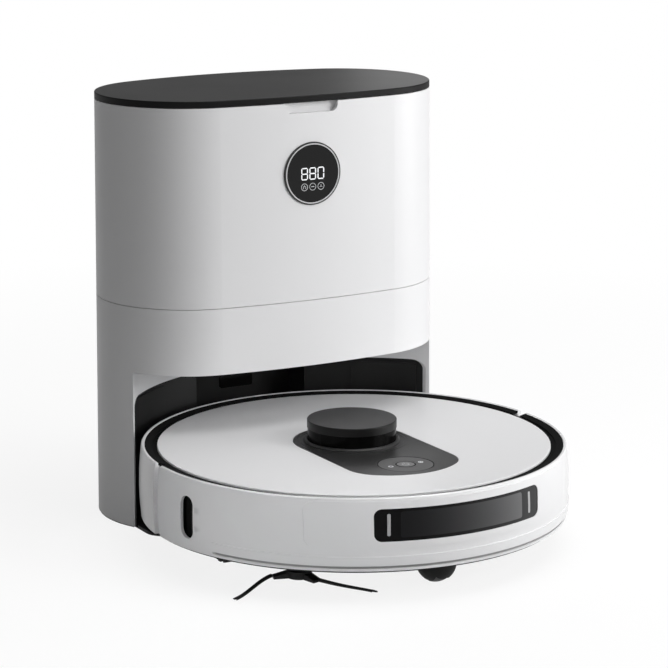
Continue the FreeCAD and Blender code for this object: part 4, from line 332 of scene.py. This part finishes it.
def painted_groove_shade(material, half_angle, z0, z1):
    """Painted shade: a grey line along the groove under the bumper's rib, where the groove lies in
    shadow.
    """
    tree = material.node_tree
    x, y, z = split(tree, add(tree, "ShaderNodeTexCoord").outputs["Object"])
    front = maths(tree, "SUBTRACT", ROBOT_Y, y)
    angle = maths(tree, "ABSOLUTE", maths(tree, "ARCTAN2", x, front))
    off = maths(tree, "ABSOLUTE", maths(tree, "SUBTRACT", z, (z0 + z1) / 2.0))
    mask = maths(tree, "MULTIPLY", soft_step(tree, off, (z1 - z0) / 2.0, 0.5 * MM),
                 soft_step(tree, angle, half_angle, 0.03))
    # painted shade along the groove
    tint_where(material, mask, (0.30, 0.30, 0.30), 0.7)
    return material


def window_with_painted_reflection(name, half_angle, z0, z1, corner):
    """Black gloss of the sensor window, with a paler field over its middle.

    Both are painted to go from black at the robot's right to grey at its left, as a painted
    reflection of the light on that side.
    """
    material = plastic(name, 0.004, 0.16, grain=400.0, bump=0.01, tone=0.08, spread=0.02,
                       specular=0.08)
    tree = material.node_tree
    x, y, z = split(tree, add(tree, "ShaderNodeTexCoord").outputs["Object"])
    front = maths(tree, "SUBTRACT", ROBOT_Y, y)
    turn = maths(tree, "ARCTAN2", x, front)
    angle = maths(tree, "ABSOLUTE", turn)
    # painted reflection: the window's colour rises towards the robot's left, where the lamps shine
    painted_reflection = maths(tree, "ADD", maths(tree, "DIVIDE", turn, 2.2 * half_angle), 0.5, clamp=True)
    painted_reflection = maths(tree, "MULTIPLY", painted_reflection, painted_reflection)
    tint_where(material, painted_reflection, (0.055, 0.055, 0.056))
    across = maths(tree, "MULTIPLY", maths(tree, "SUBTRACT", angle, half_angle),
                   distance(tree, x, front))
    off = maths(tree, "ABSOLUTE", maths(tree, "SUBTRACT", z, (z0 + z1) / 2.0))
    up = maths(tree, "SUBTRACT", off, (z1 - z0) / 2.0)
    du = maths(tree, "MAXIMUM", maths(tree, "ADD", across, corner), 0.0)
    dv = maths(tree, "MAXIMUM", maths(tree, "ADD", up, corner), 0.0)
    panel = blend_colour(tree, painted_reflection, (0.010, 0.010, 0.011, 1), (0.18, 0.18, 0.183, 1))
    tint_where(material, soft_step(tree, distance(tree, du, dv), corner, 0.3 * MM), panel, 0.26)
    return material


def glowing(name, grey, strength):
    """Lit or pale marks, a little uneven in tone; on printed marks the emission is a painted glow.
    """
    material, tree, shader = blank_material(name)
    place = add(tree, "ShaderNodeTexCoord").outputs["Object"]
    level = noise(tree, place, scale=700.0, detail=2.0)
    tint = blend_colour(tree, level, (grey * 0.85, grey * 0.88, grey * 0.92, 1),
                        (grey, grey, grey, 1))
    tree.links.new(tint, shader.inputs["Base Color"])
    tree.links.new(tint, shader.inputs["Emission Color"])
    shader.inputs["Emission Strength"].default_value = strength
    shader.inputs["Roughness"].default_value = 0.4
    return material


SMOOTH_WHITE = {"bump": 0.015, "reach": 0.02 * MM, "tone": 0.01, "spread": 0.02}
GLOSSY_WHITE = {**SMOOTH_WHITE, "grain": 900.0, "coat": 0.2}
SATIN_BLACK = {"grain": 2200.0, "bump": 0.12, "tone": 0.10}
BUTTON_PLASTIC = {"grain": 2600.0, "tone": 0.12}

MATERIALS = {
    "dock_shell_white": plastic("dock_shell_white", 0.80, 0.38, grain=1800.0, bump=0.04,
                                reach=0.03 * MM, tone=0.012, spread=0.02),
    "black_plastic": plastic("black_plastic", 0.012, 0.48, grain=1600.0, bump=0.2, tone=0.15,
                             specular=0.25),
    "display_black": plastic("display_black", 0.006, 0.12, grain=500.0, bump=0.01, tone=0.05,
                             spread=0.02, specular=0.22),
    "robot_white": plastic("robot_white", 0.82, 0.26, **GLOSSY_WHITE),
    "cover_white": plastic("cover_white", 0.81, 0.30, grain=1500.0, **SMOOTH_WHITE),
    "island_grey": plastic("island_grey", 0.026, 0.30, grain=1300.0, bump=0.45, reach=0.08 * MM,
                           tone=0.35, specular=0.35),
    "turret_black": plastic("turret_black", 0.030, 0.40, specular=0.25, **SATIN_BLACK),
    "smoked_window": smoked("smoked_window"),
    "sensor_black": plastic("sensor_black", 0.012, 0.12, grain=400.0, bump=0.01, tone=0.08,
                            specular=0.3),
    "deck_grey": plastic("deck_grey", 0.006, 0.75, grain=1500.0, bump=0.2, tone=0.15,
                         specular=0.08),
    "chassis_grey": plastic("chassis_grey", 0.016, 0.55, grain=1400.0, bump=0.3, tone=0.12,
                            specular=0.2),
    "inner_grey": plastic("inner_grey", 0.30, 0.5, grain=1400.0, bump=0.3, tone=0.06),
    "clear_grey": plastic("clear_grey", 0.22, 0.16, grain=600.0, bump=0.05, tone=0.06),
    "pad_rubber": plastic("pad_rubber", 0.030, 0.72, grain=1800.0, bump=0.5, tone=0.2,
                          specular=0.3),
    "brush_rubber": plastic("brush_rubber", 0.045, 0.6, grain=1500.0, bump=0.4, tone=0.2,
                            specular=0.4),
    "tread_rubber": plastic("tread_rubber", 0.022, 0.75, grain=1500.0, bump=0.6, tone=0.25,
                            specular=0.3),
    "wheel_grey": plastic("wheel_grey", 0.10, 0.45, grain=1700.0, bump=0.3, tone=0.1),
    "bristle": plastic("bristle", 0.012, 0.5, grain=3000.0, bump=0.2, tone=0.4, specular=0.3),
    "bag_paper": paper("bag_paper", (0.66, 0.64, 0.60)),
    "card": paper("card", (0.48, 0.42, 0.33), scale=700.0, tone=0.2),
    "filter_paper": paper("filter_paper", (0.74, 0.74, 0.71), scale=1400.0, tone=0.1),
    "steel": metal("steel", 0.55, 0.28),
    "contact_metal": metal("contact_metal", 0.68, 0.2, scale=1400.0),
    "board": plastic("board", (0.012, 0.10, 0.045), 0.3, grain=900.0, bump=0.1, tone=0.2),
    "cell_wrap": plastic("cell_wrap", (0.03, 0.05, 0.16), 0.18, grain=500.0, bump=0.1, tone=0.1),
}
BEZEL = bezel_finish("bezel_black", centre_z=294.0 * MM, bright_r=24.95 * MM)
SENSOR_WINDOW = window_with_painted_reflection("sensor_window_black", half_angle=math.radians(18.2),
                              z0=53.2 * MM, z1=73.6 * MM, corner=2.0 * MM)
BAR_LENS = plastic("bar_lens", 0.42, 0.25, grain=900.0, bump=0.05, tone=0.06)
# grey button plastics with painted shade rings over the gaps round them
POWER_GREY = button_gap_shade(plastic("power_grey", 0.15, 0.40, bump=0.2, **BUTTON_PLASTIC),
                          ((POWER_R, 0.45 * MM),))
PAD_GREY = button_gap_shade(plastic("pad_grey", 0.095, 0.42, bump=0.15, specular=0.3,
                                **BUTTON_PLASTIC),
                        ((PAD_R, 0.7 * MM), (POWER_R, 0.8 * MM)))
# bumper plastic with a painted shade line along the groove under its rib
BUMPER_WHITE = painted_groove_shade(plastic("bumper_white", 0.82, 0.26, **GLOSSY_WHITE),
                           half_angle=math.radians(68.3), z0=29.2 * MM, z1=31.4 * MM)
LIT = glowing("lit_marks", 0.85, 0.45)
LIT_DIM = glowing("lit_icons", 0.45, 0.35)
# printed marks with a painted glow: they emit light though they are only print
PRINTED_PAINTED_GLOW = glowing("printed_marks_painted_glow", 0.82, 0.12)
LID = dark_sided(plastic("lid_black_top", 0.024, 0.36, spread=0.04, specular=0.16,
                         **SATIN_BLACK), grey=0.002, rough=0.5)
TURRET_CAP = dark_sided(plastic("turret_cap_black", 0.022, 0.36, spread=0.04, specular=0.2,
                                **SATIN_BLACK), grey=0.006, rough=0.34)
SPECIAL = {"display_bezel": BEZEL, "sensor_window": SENSOR_WINDOW, "window_bars": BAR_LENS,
           "power_button": POWER_GREY, "rocker_button": PAD_GREY,
           "bumper": BUMPER_WHITE, "dock_lid": LID, "lidar_cap": TURRET_CAP}

for node_name, thing in nodes.items():
    finish = SPECIAL.get(node_name) or MATERIALS[slot_of[node_name]]
    thing.data.materials.clear()
    thing.data.materials.append(finish)


# ------------------------------------------------------------- piece makers
def place_mesh(name, mesh_data, body, material):
    """Adds a finished mesh to the scene, on a body of the frame."""
    thing = bpy.data.objects.new(name, mesh_data)
    bpy.context.scene.collection.objects.link(thing)
    mesh_data.materials.append(material)
    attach(thing, body)
    return thing


def extrude_outline(bm, outline, height, to_world):
    """Closed prism from a 2-D outline, mapped to its place by a function of (u, v, w)."""
    low = [bm.verts.new(to_world(u, v, 0.0)) for u, v in outline]
    high = [bm.verts.new(to_world(u, v, height)) for u, v in outline]
    bm.faces.new(list(reversed(low)))
    bm.faces.new(high)
    count = len(outline)
    for i in range(count):
        j = (i + 1) % count
        bm.faces.new((low[i], low[j], high[j], high[i]))


def ring_prism(bm, centre, outer, inner, height, to_world, deg0=0.0, deg1=360.0, steps=48):
    """Flat ring, or part of one, as a closed prism."""
    closed = deg1 - deg0 >= 359.9
    count = steps if closed else steps + 1
    rows = []
    for i in range(count):
        a = math.radians(deg0 + (deg1 - deg0) * i / steps)
        c, s = math.cos(a), math.sin(a)
        row = []
        for radius, w in ((inner, 0.0), (outer, 0.0), (outer, height), (inner, height)):
            row.append(bm.verts.new(to_world(centre[0] + radius * c, centre[1] + radius * s, w)))
        rows.append(row)
    for i in range(steps):
        a, b = rows[i], rows[(i + 1) % count]
        for k in range(4):
            m = (k + 1) % 4
            bm.faces.new((a[k], a[m], b[m], b[k]))
    if not closed:
        bm.faces.new(list(reversed(rows[0])))
        bm.faces.new(rows[-1])


def finish_mesh(bm, name):
    bmesh.ops.recalc_face_normals(bm, faces=bm.faces)
    data = bpy.data.meshes.new(name)
    bm.to_mesh(data)
    bm.free()
    return data


# ---------------------------------------------------------- display markings
glass_lo, glass_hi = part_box("display_glass")
DISPLAY_Z = (glass_lo[2] + glass_hi[2]) / 2.0


def on_display(u, v, w):
    """Point on the front of the display glass: u to the right, v up, w proud of it."""
    return Vector((u, glass_lo[1] + 0.02 * MM - w, DISPLAY_Z + v))


def bar_outline(x0, y0, x1, y1, half):
    """Bar with pointed ends between two joints of a figure."""
    along = Vector((x1 - x0, y1 - y0)).normalized()
    across = Vector((-along.y, along.x)) * half
    a = Vector((x0, y0)) + along * half * 1.35
    b = Vector((x1, y1)) - along * half * 1.35
    tip = along * half
    points = [a - across, b - across, b + tip, b + across, a + across, a - tip]
    return [(p.x, p.y) for p in points]


MARK_T = 0.15 * MM       # how thick every printed or lit mark is
ICON_PITCH = 7.7 * MM
ICON_DROP = 10.9 * MM    # middle of the round signs below the middle of the display
FIGURE_BARS = {"8": "abcdefg", "0": "abcdef"}


def display_digits():
    """Three seven-bar figures across the middle of the display."""
    bm = bmesh.new()
    width, height, half, pitch = 6.2 * MM, 10.2 * MM, 0.47 * MM, 7.6 * MM
    for place, figure in enumerate("880"):
        middle = (place - 1) * pitch
        x0, x1 = middle - width / 2 + half, middle + width / 2 - half
        y0, y2 = half - height / 2, height / 2 - half
        bars = {"a": (x0, y2, x1, y2), "b": (x1, 0.0, x1, y2), "c": (x1, y0, x1, 0.0),
                "d": (x0, y0, x1, y0), "e": (x0, y0, x0, 0.0), "f": (x0, 0.0, x0, y2),
                "g": (x0, 0.0, x1, 0.0)}
        for key in FIGURE_BARS[figure]:
            extrude_outline(bm, bar_outline(*bars[key], half), MARK_T, on_display)
    place_mesh("display_digits", finish_mesh(bm, "display_digits"), "dock", LIT)


def display_icons():
    """Three round signs under the figures: bag, suction and fan."""
    bm = bmesh.new()
    y = -ICON_DROP
    for i in range(3):
        x = (i - 1) * ICON_PITCH
        ring_prism(bm, (x, y), 3.1 * MM, 2.65 * MM, MARK_T, on_display)
        if i == 0:
            ring_prism(bm, (x, y - 0.3 * MM), 1.4 * MM, 0.95 * MM, MARK_T, on_display,
                       deg0=-60.0, deg1=240.0, steps=24)
            extrude_outline(bm, bar_outline(x, y, x, y + 1.8 * MM, 0.2 * MM), MARK_T, on_display)
        elif i == 1:
            dash = bar_outline(x - 1.7 * MM, y, x + 1.7 * MM, y, 0.3 * MM)
            extrude_outline(bm, dash, MARK_T, on_display)
        else:
            for deg in (90.0, 210.0, 330.0):
                a = math.radians(deg)
                tip = (x + 1.6 * MM * math.cos(a), y + 1.6 * MM * math.sin(a))
                extrude_outline(bm, bar_outline(x, y, *tip, 0.22 * MM), MARK_T, on_display)
    place_mesh("display_icons", finish_mesh(bm, "display_icons"), "dock", LIT_DIM)


display_digits()
display_icons()


# ------------------------------------------------------------ button symbols
SYMBOL_X = 13.8 * MM     # signs of the rocking pad on either side of its middle


def button_top(node):
    """Maps u, v and w from the middle of the buttons to the top of one of them."""
    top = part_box(node)[1][2]
    return lambda u, v, w: Vector((u, BUTTON_Y + v, top - 0.03 * MM + w))


def button_marks():
    """House and ring on the rocking pad, a stand-by sign on the middle button."""
    ring = bmesh.new()
    to_world = button_top("rocker_button")
    wall, eave, foot, roof, half = 1.5 * MM, -0.1 * MM, -1.9 * MM, 1.9 * MM, 0.3 * MM
    strokes = ((-2.1 * MM, eave, 0.0, roof), (0.0, roof, 2.1 * MM, eave),
               (-wall, 0.0, -wall, foot), (wall, 0.0, wall, foot), (-wall, foot, wall, foot))
    for x0, y0, x1, y1 in strokes:
        stroke = bar_outline(x0 - SYMBOL_X, y0, x1 - SYMBOL_X, y1, half)
        extrude_outline(ring, stroke, MARK_T, to_world)
    ring_prism(ring, (SYMBOL_X, 0.0), 2.1 * MM, 1.55 * MM, MARK_T, to_world)
    ring_prism(ring, (SYMBOL_X, 0.0), 0.7 * MM, 0.1 * MM, MARK_T, to_world, steps=20)
    place_mesh("rocker_symbols", finish_mesh(ring, "rocker_symbols"), "rocker_button", PRINTED_PAINTED_GLOW)
    power = bmesh.new()
    to_world = button_top("power_button")
    ring_prism(power, (0.0, 0.0), 3.0 * MM, 2.55 * MM, MARK_T, to_world,
               deg0=120.0, deg1=420.0, steps=40)
    extrude_outline(power, bar_outline(0.0, 1.0 * MM, 0.0, 4.0 * MM, 0.28 * MM), MARK_T, to_world)
    place_mesh("power_symbol", finish_mesh(power, "power_symbol"), "power_button", LIT_DIM)


button_marks()


# ------------------------------------------------------------- the dust bag
BAG_SLACK = 4.0 * MM     # how much smaller the bag is before it is blown out
BAG_NET = 4.5 * MM       # mesh size of the bag while it is cloth
BLOW_FRAMES = 20
GUSSET_DEPTH = 9.0 * MM  # how far the folds at the bag's ends reach in


def baked(thing):
    """Mesh of an object with its modifiers applied."""
    graph = bpy.context.evaluated_depsgraph_get()
    return bpy.data.meshes.new_from_object(thing.evaluated_get(graph))


def swap_mesh(thing, data):
    thing.modifiers.clear()
    thing.data = data


def inflate(thing, frames, cap):
    """Blows a closed mesh up as cloth and keeps every point within the cap of its start."""
    start = [v.co.copy() for v in thing.data.vertices]
    cloth = thing.modifiers.new("cloth", "CLOTH")
    settings = cloth.settings
    settings.quality = 6
    settings.mass = 0.15
    settings.tension_stiffness = 25.0
    settings.compression_stiffness = 25.0
    settings.shear_stiffness = 12.0
    settings.bending_stiffness = 1.2
    settings.use_pressure = True
    settings.uniform_pressure_force = 4.0
    settings.effector_weights.gravity = 0.0
    scene = bpy.context.scene
    for frame_no in range(1, frames + 1):
        scene.frame_set(frame_no)
    data = baked(thing)
    scene.frame_set(1)
    for v, home in zip(data.vertices, start):
        step = v.co - home
        if step.length > cap:
            v.co = home + step * (cap / step.length)
    swap_mesh(thing, data)


def crease(value, middle, half):
    """Depth share of a soft V fold at one place."""
    return max(0.0, 1.0 - abs(value - middle) / half)


def dust_bag_paper():
    """Full paper bag: crowned sides, gusset folds at the ends and small crumples."""
    low, high = [Vector(corner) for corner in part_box("dust_bag")]
    middle, half = (low + high) / 2.0, (high - low) / 2.0
    data = nodes["dust_bag"].data.copy()
    data.materials.clear()
    for v in data.vertices:
        off = v.co - middle
        v.co = middle + Vector([off[k] * (1.0 - BAG_SLACK / half[k]) for k in range(3)])
    bag = place_mesh("dust_bag_paper", data, "dock", MATERIALS["bag_paper"])
    net = bag.modifiers.new("net", "REMESH")
    net.mode = "VOXEL"
    net.voxel_size = BAG_NET
    swap_mesh(bag, baked(bag))
    inflate(bag, BLOW_FRAMES, BAG_SLACK)
    smooth = bag.modifiers.new("finer", "SUBSURF")
    smooth.levels = 1
    swap_mesh(bag, baked(bag))
    for v in bag.data.vertices:
        off = v.co - middle
        end = abs(off.x) / half.x
        gusset = crease(off.y, 0.0, 22.0 * MM) * max(0.0, (end - 0.72) / 0.28)
        v.co.x -= math.copysign(GUSSET_DEPTH * gusset, off.x)
        crown = crease(off.y, 4.0 * MM, 5.0 * MM) * max(0.0, (off.z / half.z - 0.8) / 0.2)
        v.co.z -= 1.6 * MM * crown
        rumple = turbulence.noise(v.co * 38.0) + 0.5 * turbulence.noise(v.co * 95.0)
        sharp = abs(turbulence.noise(v.co * 52.0 + Vector((3.0, 1.0, 7.0))))
        v.co += v.normal * (1.1 * MM * rumple - 1.6 * MM * (0.3 - min(0.3, sharp)) / 0.3)
        for k in range(3):
            v.co[k] = min(max(v.co[k], low[k]), high[k])
    for face in bag.data.polygons:
        face.use_smooth = True
    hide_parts("dust_bag")


dust_bag_paper()


# ------------------------------------------------------ side brush bristles
BRUSH_AT = Vector((-97.0 * MM, ROBOT_Y - 84.0 * MM, 0.0))
FIRST_ARM = 43.0         # degrees from +X; the other two arms follow every 120
ROOT_R, TIP_R = 22.2, 64.5   # reach of a tuft's two ends from the hub's axis, in mm
TUFT_SWEEP = 27.0        # degrees that a tuft trails at its tip
TIP_Z, ROOT_RISE = 1.4, 7.5  # height of the tip, and of the root above it, in mm
FRAY_FROM = 0.72         # share of the tuft after which its strands part
STRAND_R = 0.36 * MM
STRANDS = 40             # in each of the three tufts
STRAND_STEPS = 14


def tuft_line(share):
    """Middle line of a tuft that lies along +X: reach, sweep and height in metres."""
    radius = ROOT_R + (TIP_R - ROOT_R) * share
    sweep = math.radians(TUFT_SWEEP * (1.0 - (1.0 - share) ** 2))
    z = TIP_Z + ROOT_RISE * max(0.0, 1.0 - share ** 1.2) ** 1.6
    return Vector((radius * math.cos(sweep), radius * math.sin(sweep), z)) * MM


def strand_tube(bm, points, thick):
    """Thin tapering five-sided strand through a row of points."""
    rings = []
    for i, point in enumerate(points):
        ahead = points[min(i + 1, len(points) - 1)] - points[max(i - 1, 0)]
        across = Vector((-ahead.y, ahead.x, 0.0)).normalized()
        rise = ahead.normalized().cross(across)
        radius = thick * (1.0 - 0.2 * i / (len(points) - 1))
        rings.append([bm.verts.new(point + (across * math.cos(a) + rise * math.sin(a)) * radius)
                      for a in [math.tau * k / 5 for k in range(5)]])
    for a, b in zip(rings, rings[1:]):
        for k in range(5):
            m = (k + 1) % 5
            bm.faces.new((a[k], a[m], b[m], b[k]))
    bm.faces.new(list(reversed(rings[0])))
    bm.faces.new(rings[-1])


def side_brush_strands():
    """Three bundles of nylon strands, tight at the hub and frayed at their tips."""
    dice = random.Random(11)
    bm = bmesh.new()
    for arm in range(3):
        turn = math.radians(FIRST_ARM + 120.0 * arm)
        for _ in range(STRANDS):
            side, lift = dice.uniform(-1.0, 1.0), dice.uniform(-1.0, 1.0)
            fray, reach = dice.uniform(-1.0, 1.0), dice.uniform(0.90, 1.0)
            points = []
            for step in range(STRAND_STEPS):
                share = reach * step / (STRAND_STEPS - 1)
                here = tuft_line(share)
                ahead = tuft_line(share + 0.02) - here
                across = Vector((-ahead.y, ahead.x, 0.0)).normalized()
                loose = max(0.0, share - FRAY_FROM) / (1.0 - FRAY_FROM)
                here += across * (side * (1.3 + 0.5 * share) + fray * 1.3 * loose ** 1.3) * MM
                here.z += lift * (1.1 - 0.7 * share) * MM
                here.z = max(here.z, 0.55 * MM)
                points.append(Vector((here.x * math.cos(turn) - here.y * math.sin(turn),
                                      here.x * math.sin(turn) + here.y * math.cos(turn),
                                      here.z)) + BRUSH_AT)
            strand_tube(bm, points, STRAND_R)
    data = finish_mesh(bm, "side_brush_strands")
    for face in data.polygons:
        face.use_smooth = True
    tuft = place_mesh("side_brush_strands", data, "side_brush", MATERIALS["bristle"])
    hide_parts("side_brush_bristles")


side_brush_strands()


# -------------------------------------------------------------------- camera
SENSOR_WIDTH = 36.0      # lens and sensor in millimetres
LENS = 142.96
CAMERA_AT = (-1.0446, -1.9627, 0.6379)
LOOKS_DOWN = 12.55       # degrees below level
LOOKS_RIGHT = 29.53      # degrees from +Y towards +X


def add_camera():
    data = bpy.data.cameras.new("camera")
    data.sensor_width = SENSOR_WIDTH
    data.lens = LENS
    data.clip_end = 50.0
    view = bpy.data.objects.new("camera", data)
    view.location = CAMERA_AT
    view.rotation_euler = (math.radians(90.0 - LOOKS_DOWN), 0.0, math.radians(-LOOKS_RIGHT))
    bpy.context.scene.collection.objects.link(view)
    bpy.context.scene.camera = view


def area_lamp(name, at, aim, size, power, spread=180.0, glints=True):
    """Rectangular lamp aimed at a point; glints says whether glossy surfaces show it."""
    data = bpy.data.lights.new(name, "AREA")
    data.shape = "RECTANGLE"
    data.size, data.size_y = size
    data.energy = power
    data.spread = math.radians(spread)
    lamp = bpy.data.objects.new(name, data)
    lamp.location = at
    lamp.visible_glossy = glints
    lamp.rotation_euler = (Vector(aim) - Vector(at)).to_track_quat("-Z", "Y").to_euler()
    bpy.context.scene.collection.objects.link(lamp)


SHADOW_SHARE = 0.15      # how much of the floor's real light shows round the object
GLOSS_SHARE = 0.5        # how white the surround is in a glossy surface
ROOM_LIGHT = 0.12        # light of the surround on the object
CEILING = 0.12           # tone of the surround overhead, as glossy surfaces show it
FLOOR_SIZE = 6.0         # half the floor's width in metres


def seen_directly(tree):
    """1 for what is looked at, straight or through a part, less in a reflection, 0 for light."""
    path = add(tree, "ShaderNodeLightPath").outputs
    gloss = maths(tree, "MULTIPLY", path["Is Glossy Ray"], GLOSS_SHARE)
    return maths(tree, "MAXIMUM", path["Is Camera Ray"],
                 maths(tree, "MAXIMUM", gloss, path["Is Transmission Ray"]))


def white_floor():
    """Floor finish: white with a light shadow where it is seen, and dimmer as a light."""
    material, tree, shader = blank_material("studio_floor")
    place = add(tree, "ShaderNodeTexCoord").outputs["Object"]
    seen = seen_directly(tree)
    patchy = blend_colour(tree, noise(tree, place, scale=3.0, detail=2.0),
                          (0.34, 0.34, 0.34, 1), (0.36, 0.36, 0.36, 1))
    tree.links.new(blend_colour(tree, seen, patchy, (1, 1, 1, 1)), shader.inputs["Base Color"])
    shader.inputs["Roughness"].default_value = 0.9
    shader.inputs["Specular IOR Level"].default_value = 0.1
    away = add(tree, "ShaderNodeVectorMath", operation="LENGTH")
    tree.links.new(place, away.inputs[0])
    near = maths(tree, "DIVIDE", maths(tree, "SUBTRACT", 1.1, away.outputs["Value"]), 0.7,
                 clamp=True)
    plain_white = maths(tree, "SUBTRACT", 1.0, maths(tree, "MULTIPLY", near, SHADOW_SHARE))
    lit_share = maths(tree, "SUBTRACT", 1.0, maths(tree, "MULTIPLY", seen, plain_white))
    white = add(tree, "ShaderNodeEmission")
    white.inputs["Strength"].default_value = 1.0
    mix = add(tree, "ShaderNodeMixShader")
    tree.links.new(lit_share, mix.inputs[0])
    tree.links.new(white.outputs[0], mix.inputs[1])
    tree.links.new(shader.outputs[0], mix.inputs[2])
    tree.links.new(mix.outputs[0], tree.nodes["Material Output"].inputs["Surface"])
    return material


def add_floor():
    bm = bmesh.new()
    bmesh.ops.create_grid(bm, x_segments=24, y_segments=24, size=FLOOR_SIZE)
    data = bpy.data.meshes.new("studio_floor")
    bm.to_mesh(data)
    bm.free()
    floor = bpy.data.objects.new("studio_floor", data)
    bpy.context.scene.collection.objects.link(floor)
    data.materials.append(white_floor())


def add_surround():
    """White sweep up to a little above the horizon, under a dim ceiling."""
    world = bpy.data.worlds.new("studio")
    bpy.context.scene.world = world
    world.use_nodes = True
    tree = world.node_tree
    tree.nodes.clear()
    path = add(tree, "ShaderNodeLightPath").outputs
    towards = add(tree, "ShaderNodeTexCoord").outputs["Generated"]
    _, _, up = split(tree, towards)
    sweep = maths(tree, "DIVIDE", maths(tree, "SUBTRACT", 0.19, up), 0.08, clamp=True)
    ceiling = maths(tree, "MAXIMUM", sweep, CEILING)
    shown_level = maths(tree, "MAXIMUM", ceiling, path["Is Camera Ray"])
    room = add(tree, "ShaderNodeBackground")
    room.inputs["Color"].default_value = (1, 1, 1, 1)
    room.inputs["Strength"].default_value = ROOM_LIGHT
    shown = add(tree, "ShaderNodeBackground")
    tree.links.new(shown_level, shown.inputs["Color"])
    shown.inputs["Strength"].default_value = 1.0
    seen = seen_directly(tree)
    mix = add(tree, "ShaderNodeMixShader")
    tree.links.new(seen, mix.inputs[0])
    tree.links.new(room.outputs[0], mix.inputs[1])
    tree.links.new(shown.outputs[0], mix.inputs[2])
    tree.links.new(mix.outputs[0], add(tree, "ShaderNodeOutputWorld").inputs[0])


def add_studio():
    """Pale floor and surround, a broad key at the right, a soft top light and small fills."""
    add_floor()
    add_surround()
    area_lamp("key_right_front", (1.65, -1.95, 1.2), (0.0, -0.1, 0.15), (1.2, 1.4), 35.5)
    area_lamp("top_soft", (0.5, -0.5, 2.2), (0.0, -0.15, 0.0), (1.6, 1.6), 28.0)
    area_lamp("low_left", (-1.0, -0.75, 0.32), (-0.14, -0.26, 0.06), (0.16, 0.10), 0.045,
              spread=20.0, glints=False)
    area_lamp("fill_front_left", (-1.3, -2.6, 0.9), (0.0, -0.1, 0.15), (1.2, 1.2), 5.0)
    area_lamp("lid_sheen", (1.30, 1.60, 0.60), (0.30, 0.0, 0.36), (0.5, 0.3), 0.006,
              spread=15.0)
    area_lamp("back_soft", (0.4, 2.4, 1.1), (0.0, 0.0, 0.2), (1.2, 1.2), 8.0, glints=False)
    area_lamp("side_right", (1.3, -0.78, 0.30), (0.1, -0.3, 0.06), (0.9, 0.45), 6.5)


add_camera()
add_studio()
bpy.context.scene.view_settings.view_transform = "Standard"
